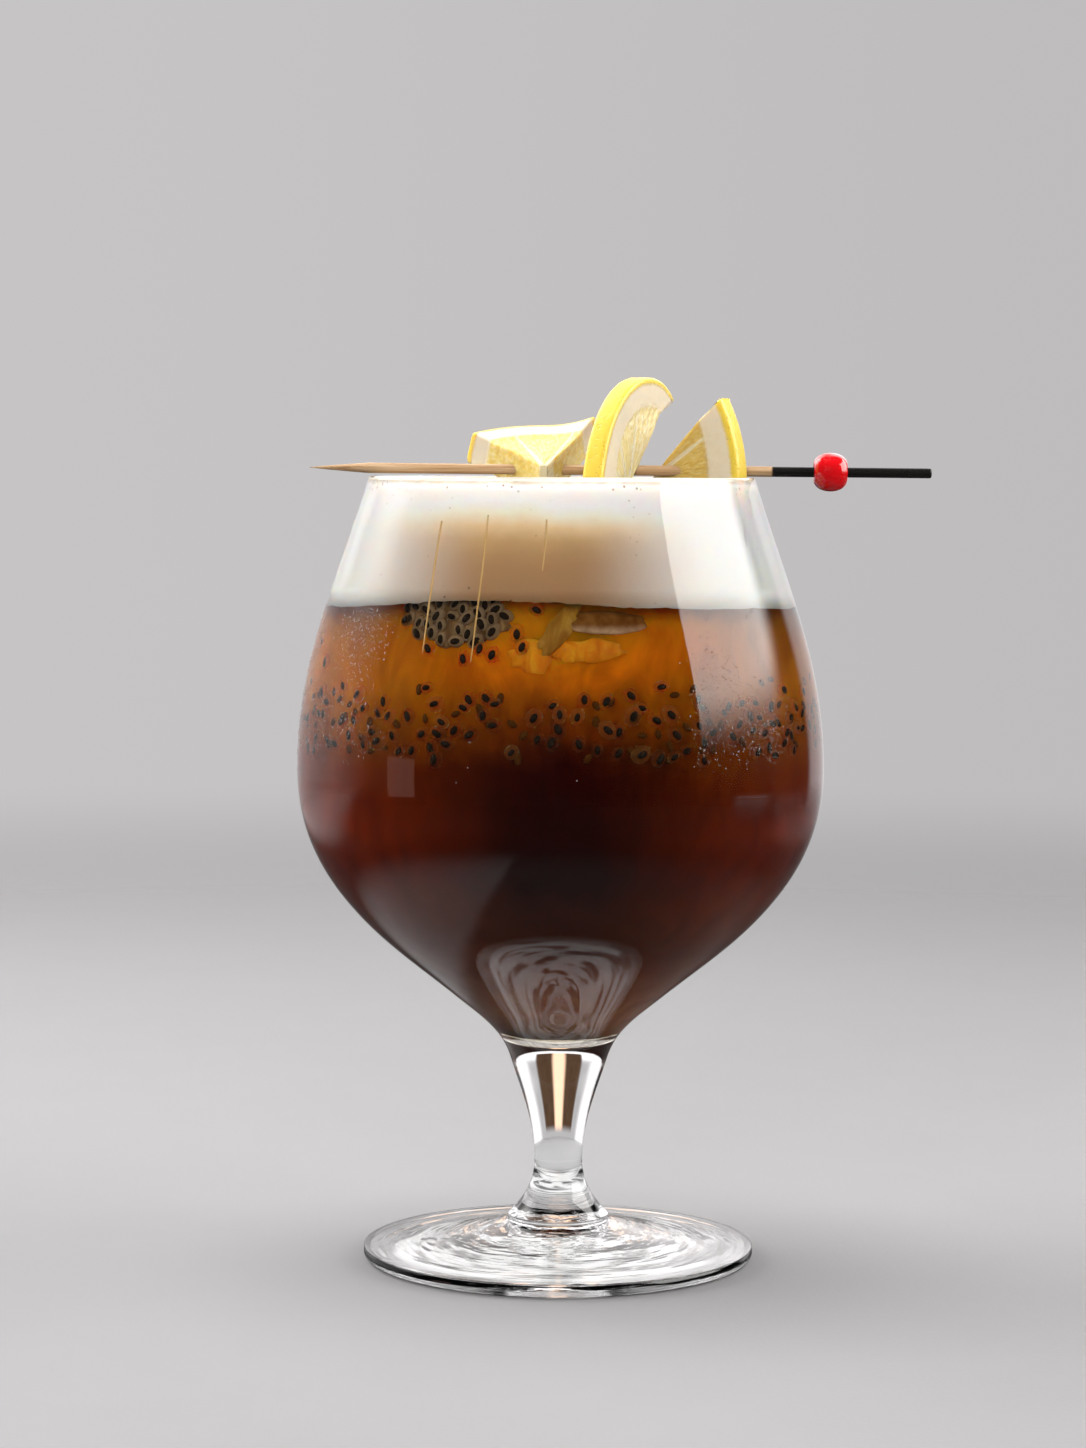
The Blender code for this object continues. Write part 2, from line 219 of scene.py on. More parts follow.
# Condensation: how many drops, with heights and half sizes in millimetres
DROPS_DRAW = 23
DROP_COUNT = 7800
DROP_HEIGHTS = (94.0, 128.5)
DROP_SIZES = (0.06, 0.07, 0.08, 0.10, 0.12, 0.16)
DROP_FLATNESS = 0.5
DROP_STRETCH = (1.0, 1.15)
DROP_LEAST_CHANCE = 0.006

# Where the drops start and end: sine of the heading or height, and how wide they thin out
DROPS_LEFT = (0.62, 0.2)
DROPS_RIGHT = (0.46, 0.06)
DROPS_RIGHT_END = (0.86, 0.08)
DROPS_RIGHT_TOP = (124.0 * MM, 14.0 * MM)
DROPS_RIGHT_TOP_SHARE = 0.25
DROPS_BOTTOM = (98.0 * MM, 8.0 * MM)

# Pick and bead
PICK_RADIUS = 1.0 * MM
PICK_TIP_X = -48.8 * MM
PICK_TIP_RADIUS = 0.1 * MM
PICK_TIP_FULLNESS = 0.8
PICK_SHOULDER_X = -37.4 * MM
PICK_END_X = 71.6 * MM
PICK_BEVEL = 0.3 * MM
PICK_BEVEL_MIDDLE = (0.08 * MM, 0.12 * MM)
PICK_UNEVEN = 0.018
PICK_WAVES = 160.0
PICK_HEIGHT = RIM_HEIGHT + 1.35 * MM
PICK_FALL = math.tan(math.radians(0.25))
PICK_TAPER_STEPS = 24
PICK_STEPS = 160
PICK_SIDES = 32
LACQUER_X = 40.7 * MM
BEAD_X = 52.0 * MM
BEAD_LENGTH = 6.5 * MM
BEAD_RADIUS = 3.75 * MM
BEAD_BORE = 1.3 * MM
BEAD_BORE_SHARES = (0.96, 0.5, -0.5, -0.96)
BEAD_SWEEP = math.radians(68.0)
BEAD_FULLNESS = 0.62
BEAD_STEPS = 32
BEAD_SIDES = 64

# Lemon
RIND = 1.6 * MM
RIND_ROUND = 0.9 * MM
RIND_BELLY = 0.55
RIND_STEPS = 5
PITH = 4.8 * MM
LEMON_SEGMENT = math.radians(36.0)
LEMON_STEP = 1.2
FLESH_SINK = 0.35 * MM
FLESH_BULGE = 0.45 * MM
FLESH_FULLNESS = 0.7
FLESH_GRAIN = 0.12 * MM
CORE_RADIUS = 1.2 * MM
FACE_STEPS = 34
CUT_STEPS = 10
LIP_REACH = 6

# Stage
FLOOR_HALF = 2.0
CARD_HEIGHT = 0.11
CARD_COLOUR = (1.0, 0.985, 0.97)
CARD_COLUMNS = 12
CARD_ROWS = 6
AMBER_HALF = 0.054
AMBER_BACK = 0.15
AMBER_LOW = 0.002
AMBER_HIGH = 0.13
LIGHT_BOUNCES = 24

# Lamps: name, centre, size, aim and radiance
LAMPS = (
    ('lamp_right', (0.65, 0.0, 0.40), (0.75, 0.62), (0.0, 0.0, 0.15), 5.7),
    ('lamp_left', (-0.62, 0.22, 0.55), (0.70, 0.55), (0.0, 0.0, 0.12), 8.6),
    ('lamp_top', (-0.05, 0.08, 1.05), (0.6, 0.6), (0.0, 0.0, 0.1), 11.0),
    ('lamp_front', (-0.20, -1.3, 0.60), (0.9, 0.7), (0.0, 0.0, 0.1), 7.5))

# Cards: the arguments of make_card
CARDS = (
    ('card_right', 0.6, (60.0, 148.0), (-1.0, 46.0), 5.9, (0.014, 0.22, 0.34, 0.05),
     (1.0, 0.975, 0.945), 0.38),
    ('card_left', 0.6, (-152.0, -78.0), (6.0, 62.0), 5.0, (0.1, 0.55, 0.45, 0.1)),
    ('card_square', 0.6, (-77.0, -62.0), (-11.0, 0.5), 0.8, (0.06,) * 4, (1.0, 0.62, 0.52)),
    ('card_patch', 0.6, (74.0, 102.0), (-23.0, -8.0), 1.4, (0.25,) * 4),
    ('card_top', 0.5, (-180.0, 180.0), (66.0, 76.0), 3.0, (0.0, 0.0, 0.2, 0.2)))


class Slice:
    """One cut piece of a lemon slice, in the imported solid's terms, with lengths in millimetres."""

    def __init__(self, name, hub, turn, lean, centre, radii, arc, thickness,
                 flesh, rind, curl=(0.0, 0.0), lip=(0.0, 0.0), taper=0.0):
        self.name = name
        self.flesh = flesh
        self.rind = rind
        self.curl = curl
        self.centre, self.radii, self.lip = in_metres((centre, radii, lip))
        self.thickness = thickness * MM
        self.taper = taper * MM
        self.arc = [math.radians(angle) for angle in arc]
        turned = (Matrix.Rotation(math.radians(turn), 4, 'Z')
                  @ Matrix.Rotation(math.radians(-lean), 4, 'X'))
        self.matrix = Matrix.Translation(Vector([entry * MM for entry in hub])) @ turned

    def reach(self, angle):
        """Distance from the hub to the rind along one direction."""
        du = math.cos(angle) / self.radii[0]
        dv = math.sin(angle) / self.radii[1]
        hu = -self.centre[0] / self.radii[0]
        hv = -self.centre[1] / self.radii[1]
        a = du * du + dv * dv
        b = hu * du + hv * dv
        c = hu * hu + hv * hv - 1.0
        return (math.sqrt(b * b - a * c) - b) / a

    def place(self, angle, radius, depth):
        """World point of a polar position; depth is positive on the facing side."""
        u = math.cos(angle) * radius
        v = math.sin(angle) * radius
        bend = self.curl[0] if u < 0.0 else self.curl[1]
        return self.matrix @ Vector((u, -depth - bend * u * u, v))


SLICES = (
    Slice('lemon_left', (-3.4, -8.2, 151.8), turn=0.0, lean=70.0,
          centre=(0.0, 0.0), radii=(25.2, 25.2), arc=(66.0, 126.0),
          thickness=7.0, curl=(0.0, 28.0), taper=2.4,
          flesh=((0.50, 0.34, 0.06), (0.55, 0.42, 0.11), (0.60, 0.50, 0.22)),
          rind=((0.56, 0.38, 0.03), (0.62, 0.49, 0.10))),
    Slice('lemon_middle', (10.9, -3.6, 150.4), turn=62.6, lean=0.0,
          centre=(10.0, -4.0), radii=(22.5, 26.0), arc=(46.6, 200.0),
          thickness=4.2, lip=(2.2, 0.0),
          flesh=((0.52, 0.40, 0.14), (0.56, 0.46, 0.22), (0.60, 0.53, 0.33)),
          rind=((0.52, 0.36, 0.02), (0.58, 0.45, 0.08))),
    Slice('lemon_right', (17.9, 4.7, 152.0), turn=-28.0, lean=0.0,
          centre=(-4.1, -0.6), radii=(23.4, 30.0), arc=(-40.0, 48.0),
          thickness=5.0, lip=(0.0, -0.6),
          flesh=((0.43, 0.28, 0.055), (0.46, 0.32, 0.08), (0.50, 0.38, 0.14)),
          rind=((0.52, 0.36, 0.02), (0.58, 0.45, 0.07))),
)


# Materials


class Field:
    """A value that a node puts out; arithmetic with it and the methods here add nodes."""

    def __init__(self, tree, socket):
        self.tree = tree
        self.socket = socket

    def __add__(self, other):
        return self.tree.math('ADD', self, other)

    def __sub__(self, other):
        return self.tree.math('SUBTRACT', self, other)

    def __rsub__(self, other):
        return self.tree.math('SUBTRACT', other, self)

    def __mul__(self, other):
        return self.tree.math('MULTIPLY', self, other)

    def __abs__(self):
        return self.tree.math('ABSOLUTE', self)

    def span(self, low, high, start=0.0, end=1.0):
        """Go softly from start to end where the value goes from low to high."""
        return self.tree.node('ShaderNodeMapRange', self, low, high, start, end,
                              interpolation_type='SMOOTHSTEP')

    def fade(self, low, high):
        return self.span(low, high, 1.0, 0.0)

    def level(self, low, high):
        """Go evenly from 0 to 1 where the value goes from low to high."""
        return self.tree.node('ShaderNodeMapRange', self, low, high)

    def ramp(self, *stops):
        """Colour by value; stops are position, red, green and blue."""
        made = self.tree.node('ShaderNodeValToRGB', self)
        elements = made.socket.node.color_ramp.elements
        while len(elements) < len(stops):
            elements.new(0.5)
        for element, (position, *colour) in zip(elements, stops):
            element.position = position
            element.color = (*colour, 1.0)
        return made

    def grades(self, dark, middle, light):
        return self.ramp((0.3, *dark), (0.5, *middle), (0.68, *light))

    def mix(self, first, second):
        return self.tree.blend(self, first, second)

    def choose(self, first, second):
        """Blend of two numbers."""
        return self.tree.node('ShaderNodeMix', named={0: self, 2: first, 3: second})

    def bump(self, strength, distance):
        return self.tree.node('ShaderNodeBump', named={
            'Height': self, 'Strength': strength, 'Distance': distance})

    def vector(self, operation, *values, output='Vector'):
        return self.tree.node('ShaderNodeVectorMath', self, *values, operation=operation,
                              output=output)

    def length(self):
        return self.vector('LENGTH', output='Value')

    def scaled(self, *factors):
        return self.vector('MULTIPLY', factors)

    def split(self):
        outputs = self.tree.node('ShaderNodeSeparateXYZ', self).socket.node.outputs
        return [Field(self.tree, socket) for socket in outputs]

    def rings(self, across, outward):
        """Vector for a texture that runs in rings about the axis."""
        flat = self.scaled(1.0, 1.0, 0.0)
        around = flat.vector('NORMALIZE').scaled(across, across, 0.0)
        return around.vector('ADD', self.tree.join(0.0, 0.0, flat.length() * outward))

    def noise(self, scale, detail=3.0, roughness=0.5, distortion=0.0):
        return self.tree.node('ShaderNodeTexNoise', output='Fac', named={
            'Vector': self, 'Scale': scale, 'Detail': detail, 'Roughness': roughness,
            'Distortion': distortion})

    def cells(self, scale):
        return self.tree.node('ShaderNodeTexVoronoi', output='Distance',
                              named={'Vector': self, 'Scale': scale})


class Tree:
    """A material or world, with short calls for its nodes."""

    def __init__(self, name, kind='materials'):
        self.owner = getattr(bpy.data, kind).new(name)
        self.owner.use_nodes = True
        self.nodes = self.owner.node_tree.nodes

    def put(self, socket, value):
        if isinstance(value, Field):
            self.owner.node_tree.links.new(value.socket, socket)
        elif socket.type == 'RGBA' and len(value) == 3:
            socket.default_value = (*value, 1.0)
        else:
            socket.default_value = value

    def node(self, kind, *values, output=0, named=None, **settings):
        made = self.nodes.new(kind)
        for key, value in settings.items():
            setattr(made, key, value)
        for key, value in (*enumerate(values), *(named or {}).items()):
            self.put(made.inputs[key], value)
        return Field(self, made.outputs[output])

    def math(self, operation, *values, clamp=False):
        return self.node('ShaderNodeMath', *values, operation=operation, use_clamp=clamp)

    def blend(self, factor, first, second, kind='MIX'):
        """Blend of two colours."""
        return self.node('ShaderNodeMix', named={0: factor, 6: first, 7: second}, output=2,
                         data_type='RGBA', blend_type=kind)

    def join(self, *values):
        return self.node('ShaderNodeCombineXYZ', *values)

    def place(self, output='Object'):
        """Position on the object; every object here sits at the origin."""
        return self.node('ShaderNodeTexCoord', output=output)

    def ray(self, kind):
        return self.node('ShaderNodeLightPath', output=kind)

    def finish(self, **inputs):
        """Set the main shader's inputs; a name's spaces are written as underscores."""
        for key, value in inputs.items():
            self.put(self.nodes['Principled BSDF'].inputs[key.replace('_', ' ')], value)
        return self.owner

    def main_shader(self):
        return Field(self, self.nodes['Principled BSDF'].outputs[0])

    def clear_shader(self):
        return self.node('ShaderNodeBsdfTransparent')

    def show(self, factor, first, second):
        """Put a blend of two shaders on the surface."""
        self.put(self.nodes['Material Output'].inputs['Surface'],
                 self.node('ShaderNodeMixShader', factor, first, second))


def new_material(name):
    tree = Tree(name)
    return tree, tree.place()


def mottled(name, scale, detail, first, second, **inputs):
    """A material of two colours in a fine mottle."""
    tree, place = new_material(name)
    return tree.finish(Base_Color=place.noise(scale, detail).mix(first, second), **inputs)


def glass_material(name, ior):
    tree, place = new_material(name)
    tint = place.noise(25.0).mix((0.985, 0.99, 0.99), (0.965, 0.975, 0.975))
    in_foot = place.split()[2].fade(6.0 * MM, 8.0 * MM)
    waves = place.rings(1.6, 300.0).noise(1.0, 2.0) * in_foot
    smudge = place.noise(60.0, 4.0).span(0.45, 0.75, 0.0, 0.012)
    return tree.finish(Base_Color=tint, Roughness=smudge, IOR=ior, Transmission_Weight=1.0,
                       Normal=waves.bump(1.0, 0.0003))


def tea_material():
    """Clear tea that colours what is seen through it, and throws no shadow."""
    tree, place = new_material('clear_tea')
    tint = place.noise(40.0, 4.0).mix((1.0, 0.98, 0.95), (0.94, 0.9, 0.86))
    tree.put(tree.nodes['Material Output'].inputs['Volume'],
             tree.node('ShaderNodeVolumeAbsorption', TEA_COLOUR, TEA_DENSITY))
    tree.show(tree.ray('Is Shadow Ray'), tree.main_shader(), tree.clear_shader())
    return tree.finish(Base_Color=tint, Roughness=0.0, IOR=1.0, Transmission_Weight=1.0)


def foam_material():
    """Beige in the middle and white at the sides and rim, with fine bubbles; much of this is painted
    shade and light.
    """
    tree, place = new_material('foam')
    x, _, z = place.split()
    cloud = place.noise(45.0, 5.0, 0.6)
    # Painted shade, partly tea stain: the foam is white near the rim and turns tan and brown lower
    # down, as if the light from above fades.
    level = (z + (cloud - 0.5) * 0.006).level(127.0 * MM, 153.0 * MM)
    # Painted shade: in the middle, front and back, the foam is darker tan, as if the lamps at the
    # sides light it less there.
    middle = level.ramp(
        (0.0, 0.38, 0.21, 0.095), (0.2, 0.41, 0.225, 0.10), (0.38, 0.45, 0.25, 0.105),
        (0.47, 0.50, 0.295, 0.125), (0.56, 0.61, 0.38, 0.17), (0.655, 0.83, 0.61, 0.33),
        (0.745, 0.97, 0.90, 0.72), (0.82, 0.99, 0.985, 0.975))
    # Painted light: at the sides the foam stays white, as if lit by the lamps there, and turns beige
    # only low down.
    outer = level.ramp((0.0, 0.72, 0.62, 0.50), (0.12, 0.93, 0.88, 0.80),
                       (0.5, 0.98, 0.96, 0.92), (0.8, 0.99, 0.985, 0.975))
    colour = abs(x + 5.5 * MM).span(7.0 * MM, 38.0 * MM).mix(middle, outer)
    dots = (place.vector('ADD', (0.7, 0.3, 0.1)).cells(520.0).fade(0.08, 0.14)
            * place.noise(130.0).span(0.46, 0.62))
    colour = (dots * 0.4).mix(colour, (0.34, 0.22, 0.12))
    # Painted shade: bubble holes near the rim are painted dark brown inside.
    holes = place.cells(620.0).fade(0.1, 0.2) * z.span(149.0 * MM, 151.5 * MM)
    colour = (holes * 0.75).mix(colour, (0.25, 0.14, 0.07))
    low_specks = place.cells(400.0).fade(0.10, 0.17) * z.fade(131.8 * MM, 133.4 * MM)
    by_cluster = abs(x + 14.0 * MM).fade(8.0 * MM, 14.0 * MM)
    colour = (low_specks * by_cluster).mix(colour, (0.04, 0.018, 0.008))
    upward = tree.node('ShaderNodeNewGeometry', output='Normal').split()[2]
    top = cloud.ramp((0.38, 0.35, 0.30, 0.23), (0.6, 0.47, 0.43, 0.37))
    froth = place.cells(1500.0) * 0.35 - (dots + holes)
    return tree.finish(Base_Color=upward.span(0.6, 0.9).mix(colour, top), Roughness=0.6,
                       Normal=froth.bump(0.18, 0.0002), Subsurface_Weight=1.0,
                       Subsurface_Radius=(1.0, 0.75, 0.55), Subsurface_Scale=0.005)


def murk_material():
    """Cloudy tea: amber under the foam, red brown below the seeds, then almost black; much of it is
    painted light.
    """
    tree, place = new_material('cloudy_tea')
    x, _, z = place.split()
    slow = place.scaled(1.0, 1.0, 1.4).noise(38.0, 4.0, 0.55, 0.6)
    wisps = place.scaled(1.0, 1.0, 0.45).noise(120.0, 5.0, 0.62, 1.2)
    height = z + ((slow - 0.5) * 0.013 + (wisps - 0.5) * 0.006)
    level = height.level(46.0 * MM, 126.0 * MM)
    # Painted light: in the middle, front and back, the amber under the foam is partly the tea's own
    # colour and partly a painted glow of light through it; below the seeds it is darker than at the
    # sides, painted shade; at the very bottom it turns amber brown again, a painted glow.
    middle = level.ramp(
        (0.0, 0.60, 0.20, 0.060), (0.10, 0.50, 0.15, 0.040), (0.19, 0.24, 0.048, 0.009),
        (0.27, 0.07, 0.009, 0.0016), (0.42, 0.012, 0.0006, 0.0003),
        (0.56, 0.014, 0.0005, 0.0003), (0.66, 0.030, 0.0013, 0.0003),
        (0.72, 0.075, 0.009, 0.0004), (0.77, 0.17, 0.032, 0.0006), (0.83, 0.31, 0.083, 0.0013),
        (0.875, 0.58, 0.150, 0.002), (0.92, 0.86, 0.220, 0.003), (1.0, 0.84, 0.230, 0.004))
    # Painted light: at the sides the tea is red brown below the seeds, a painted glow of light
    # through the thinner tea at the edges, and amber at the bottom.
    outer = level.ramp(
        (0.0, 0.50, 0.19, 0.065), (0.13, 0.26, 0.060, 0.012), (0.42, 0.13, 0.0105, 0.0008),
        (0.56, 0.135, 0.0125, 0.0006), (0.66, 0.16, 0.022, 0.0006),
        (0.74, 0.24, 0.063, 0.0008), (0.83, 0.42, 0.143, 0.0015), (1.0, 0.46, 0.156, 0.0015))
    colour = abs(x).span(4.0 * MM, 38.0 * MM).mix(middle, outer)
    patch = wisps.ramp((0.35, 0.84, 0.80, 0.76), (0.5, 1.0, 1.0, 1.0), (0.68, 1.18, 1.2, 1.25))
    return tree.finish(Base_Color=tree.blend(1.0, colour, patch, 'MULTIPLY'), Roughness=1.0,
                       Specular_IOR_Level=0.0, Subsurface_Weight=1.0,
                       Subsurface_Radius=(1.0, 0.35, 0.05), Subsurface_Scale=0.02)


def seed_material(name, dark, light):
    tree, place = new_material(name)
    pits = place.cells(2400.0)
    return tree.finish(Base_Color=place.noise(500.0).mix(dark, light), Specular_IOR_Level=0.12,
                       Roughness=pits.span(0.0, 0.5, 0.5, 0.25), Normal=pits.bump(0.4, 0.0001))


def sac_material(name, thin, thick, clear):
    tree, place = new_material(name)
    return tree.finish(Base_Color=place.noise(300.0, 4.0).mix(thin, thick), Roughness=0.3,
                       IOR=1.035, Transmission_Weight=clear,
                       Normal=place.noise(500.0).bump(0.3, 0.0004))


def pulp_material(name, dark, middle, light):
    tree, place = new_material(name)
    strands = place.scaled(1.0, 1.0, 0.4).noise(260.0, 5.0, 0.6, 1.2)
    return tree.finish(Base_Color=strands.grades(dark, middle, light), Roughness=0.5,
                       Specular_IOR_Level=0.1, Subsurface_Weight=1.0,
                       Subsurface_Radius=(1.0, 0.5, 0.1), Subsurface_Scale=0.001,
                       Normal=strands.bump(0.4, 0.0005))


def ice_material():
    tree, place = new_material('ice')
    cracks = place.noise(400.0, 5.0, 0.6)
    # Painted highlight: the sliver is pale below 124.2 mm, standing for the white shine of an ice
    # face, and brown above.
    brown = cracks.ramp((0.35, 0.14, 0.050, 0.009), (0.6, 0.24, 0.105, 0.026))
    pale = cracks.ramp((0.35, 0.40, 0.26, 0.165), (0.6, 0.66, 0.48, 0.35))
    upper = place.split()[2].span(124.2 * MM, 126.0 * MM)
    return tree.finish(Base_Color=upper.mix(pale, brown), Roughness=0.3, IOR=1.1,
                       Transmission_Weight=0.15, Specular_IOR_Level=0.2,
                       Normal=cracks.bump(0.4, 0.0004))


def bamboo_material():
    tree, place = new_material('bamboo_and_lacquer')
    fibre = place.scaled(18.0, 900.0, 900.0).noise(3.0, 4.0, 0.6)
    pores = place.scaled(60.0, 2600.0, 2600.0).noise(2.0, 2.0)
    wood = fibre.ramp((0.3, 0.23, 0.125, 0.055), (0.5, 0.36, 0.225, 0.115),
                      (0.7, 0.46, 0.33, 0.21))
    wood = pores.span(0.62, 0.72, 0.0, 0.5).mix(wood, (0.32, 0.15, 0.05))
    black = (place.split()[0] + fibre * 0.0004).span(LACQUER_X - 0.0001, LACQUER_X + 0.0004)
    lacquer = fibre.mix((0.004, 0.004, 0.004), (0.012, 0.011, 0.01))
    return tree.finish(Base_Color=black.mix(wood, lacquer), Roughness=0.5 - black * 0.32,
                       Specular_IOR_Level=0.25, Normal=fibre.bump(0.35, 0.00015))


def bead_material():
    tree, place = new_material('red_bead')
    colour = place.noise(260.0, 4.0).mix((0.40, 0.002, 0.004), (0.56, 0.005, 0.008))
    return tree.finish(Base_Color=colour, Coat_Weight=0.6, Coat_Roughness=0.04,
                       Roughness=place.noise(700.0).span(0.3, 0.7, 0.06, 0.14))


def lemon_material(piece):
    """Colours by place on the slice: radius and angle about the hub, and way to the rind."""
    tree, place = new_material(piece.name + '_look')
    polar, from_rind = (tree.node('ShaderNodeAttribute', output=output, attribute_name=name)
                        for name, output in (('polar', 'Vector'), ('from_rind', 'Fac')))
    radius, angle, depth = polar.split()
    edge = from_rind + place.noise(900.0) * 0.7
    vesicle_place = tree.join(radius * 0.42, angle * 13.0, depth * 0.5)
    vesicle = vesicle_place.noise(1.6, 3.0, 0.55, 0.4)
    segment = tree.math('FRACT', tree.math('DIVIDE', angle, LEMON_SEGMENT))
    wall_width = tree.math('DIVIDE', 0.9, tree.math('MAXIMUM', radius, 1.5))
    wall = (abs(segment - 0.5) + wall_width).span(0.5, 0.56)
    flesh = (wall * 0.8).mix(vesicle.grades(*piece.flesh), (0.57, 0.52, 0.38))
    pith = place.noise(700.0, 4.0).mix((0.49, 0.41, 0.28), (0.56, 0.50, 0.39))
    into_flesh = edge.span(6.0, 7.4)
    into_pith = edge.span(1.3, 2.2)
    colour = into_pith.mix(place.noise(500.0).mix(*piece.rind), into_flesh.mix(pith, flesh))
    dimples = place.cells(1100.0).span(0.0, 0.35) * (1.0 - into_pith)
    relief = (vesicle + vesicle_place.cells(1.7)) * into_flesh + dimples
    return tree.finish(Base_Color=colour, Roughness=into_flesh.span(0.0, 1.0, 0.30, 0.22),
                       Normal=relief.bump(0.5, 0.0004), Subsurface_Weight=0.35,
                       Subsurface_Radius=(1.0, 0.7, 0.25), Subsurface_Scale=0.003)


# Meshes


def add_piece(name, body, material, replaced=(), shadow=True):
    """Make a piece from vertices and faces that rides on the part and may stand for solids."""
    mesh = bpy.data.meshes.new(name)
    mesh.from_pydata([tuple(v) for v in body[0]], [], body[1])
    mesh.update()
    return add_mesh(name, mesh, material, replaced, shadow)


def add_mesh(name, mesh, material, replaced=(), shadow=True):
    for entry in material if isinstance(material, tuple) else [material]:
        mesh.materials.append(entry)
    mesh.shade_smooth()
    piece = bpy.data.objects.new(name, mesh)
    bpy.context.scene.collection.objects.link(piece)
    piece.visible_shadow = shadow
    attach(piece, BODY)
    if replaced:
        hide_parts(*replaced)
    return piece


def clamped(value, low=0.0, high=1.0):
    return max(low, min(high, value))


def curve_between(start, end, steps):
    """Points of a cubic from one station up to, not including, the next."""
    chord = math.dist(start[:2], end[:2])
    points = []
    for step in range(steps):
        t = step / steps
        point = []
        for axis, trig in ((0, math.cos), (1, math.sin)):
            leave = start[axis] + HANDLE * chord * trig(math.radians(start[2]))
            arrive = end[axis] - HANDLE * chord * trig(math.radians(end[2]))
            point.append((1 - t) ** 3 * start[axis] + 3 * (1 - t) ** 2 * t * leave
                         + 3 * (1 - t) * t * t * arrive + t ** 3 * end[axis])
        points.append(tuple(point))
    return points


def smooth_outline(stations):
    points = []
    for start, end in zip(stations, stations[1:]):
        points += curve_between(start, end, OUTLINE_STEPS)
    points.append(stations[-1][:2])
    return points


def rounded(points, steps):
    """A smooth line through all the points, up to the last one."""
    line = []
    for k in range(len(points) - 1):
        before = points[max(k - 1, 0)]
        after = points[min(k + 2, len(points) - 1)]
        start, end = points[k], points[k + 1]
        for step in range(steps):
            t = step / steps
            line.append(tuple(
                0.5 * (2.0 * start[i] + (end[i] - before[i]) * t
                       + (2.0 * before[i] - 5.0 * start[i] + 4.0 * end[i] - after[i]) * t * t
                       + (3.0 * start[i] - before[i] - 3.0 * end[i] + after[i]) * t ** 3)
                for i in (0, 1)))
    line.append(points[-1])
    return line


def widened(points, distance):
    """Move an outline that runs down the inside of the bowl into the wall."""
    moved_points = []
    for index, (radius, height) in enumerate(points):
        before = points[max(index - 1, 0)]
        after = points[min(index + 1, len(points) - 1)]
        run = (after[0] - before[0], after[1] - before[1])
        size = math.hypot(*run)
        moved_points.append((max(radius - distance * run[1] / size, 0.0),
                             height + distance * run[0] / size))
    moved_points[-1] = (0.0, moved_points[-1][1])
    return moved_points


def radius_at(points, height):
    for (r0, z0), (r1, z1) in zip(points, points[1:]):
        if z1 <= height <= z0:
            return r0 + (r1 - r0) * (z0 - height) / max(z0 - z1, 1e-9)
    return points[0][0]


def direction(segment, segments=SEGMENTS):
    angle = 2.0 * math.pi * segment / segments
    return math.cos(angle), math.sin(angle)


def level_ring(radius, height):
    return [(radius * c, radius * s, height) for c, s in map(direction, range(SEGMENTS))]


def ring_faces(rows, first=None, last=None):
    """Faces between index rows of equal length, closed at each end to one vertex."""
    faces = []
    count = len(rows[0])
    for upper, lower in zip(rows, rows[1:]):
        for k in range(count):
            n = (k + 1) % count
            faces.append((upper[k], lower[k], lower[n], upper[n]))
    for k in range(count):
        n = (k + 1) % count
        if first is not None:
            faces.append((first, rows[0][k], rows[0][n]))
        if last is not None:
            faces.append((last, rows[-1][n], rows[-1][k]))
    return faces


def index_rows(count, length, start=0):
    return [list(range(start + k * length, start + (k + 1) * length)) for k in range(count)]


def body_of_rings(rings, first, last):
    """Vertices and faces of a closed body, from the ring round its first end on."""
    vertices = [point for ring in rings for point in ring] + [first, last]
    rows = index_rows(len(rings), len(rings[0]))
    return vertices, ring_faces(rows, len(vertices) - 2, len(vertices) - 1)


def ball(point, rings, sides):
    """A closed body from pole to pole; point gives a place for a polar angle and a heading."""
    vertices = [point(0.0, 0.0)]
    for k in range(1, rings):
        vertices += [point(math.pi * k / rings, 2.0 * math.pi * j / sides) for j in range(sides)]
    vertices.append(point(math.pi, 0.0))
    return vertices, ring_faces(index_rows(rings - 1, sides, 1), 0, len(vertices) - 1)


def ellipsoid(axes, rings, sides, wobble=0.0, seed=0.0):
    """A closed ellipsoid round the origin, uneven by a share."""
    def point(polar, angle):
        spot = Vector((axes[0] * math.sin(polar) * math.cos(angle),
                       axes[1] * math.sin(polar) * math.sin(angle), axes[2] * math.cos(polar)))
        return spot * (1.0 + wobble * noise.noise(spot * 500.0 + Vector((seed, seed, 0.0))))

    return ball(point, rings, sides)


def moved(body, turn, spot=Vector()):
    return [spot + turn @ v for v in body[0]], body[1]


def about_axis(angle):
    return Matrix.Rotation(angle, 3, 'Z')


def joined(bodies):
    """One list of vertices and faces from many."""
    vertices, faces = [], []
    for body_vertices, body_faces in bodies:
        start = len(vertices)
        vertices += body_vertices
        faces += [tuple(start + index for index in face) for face in body_faces]
    return vertices, faces


# Glass, tea and foam


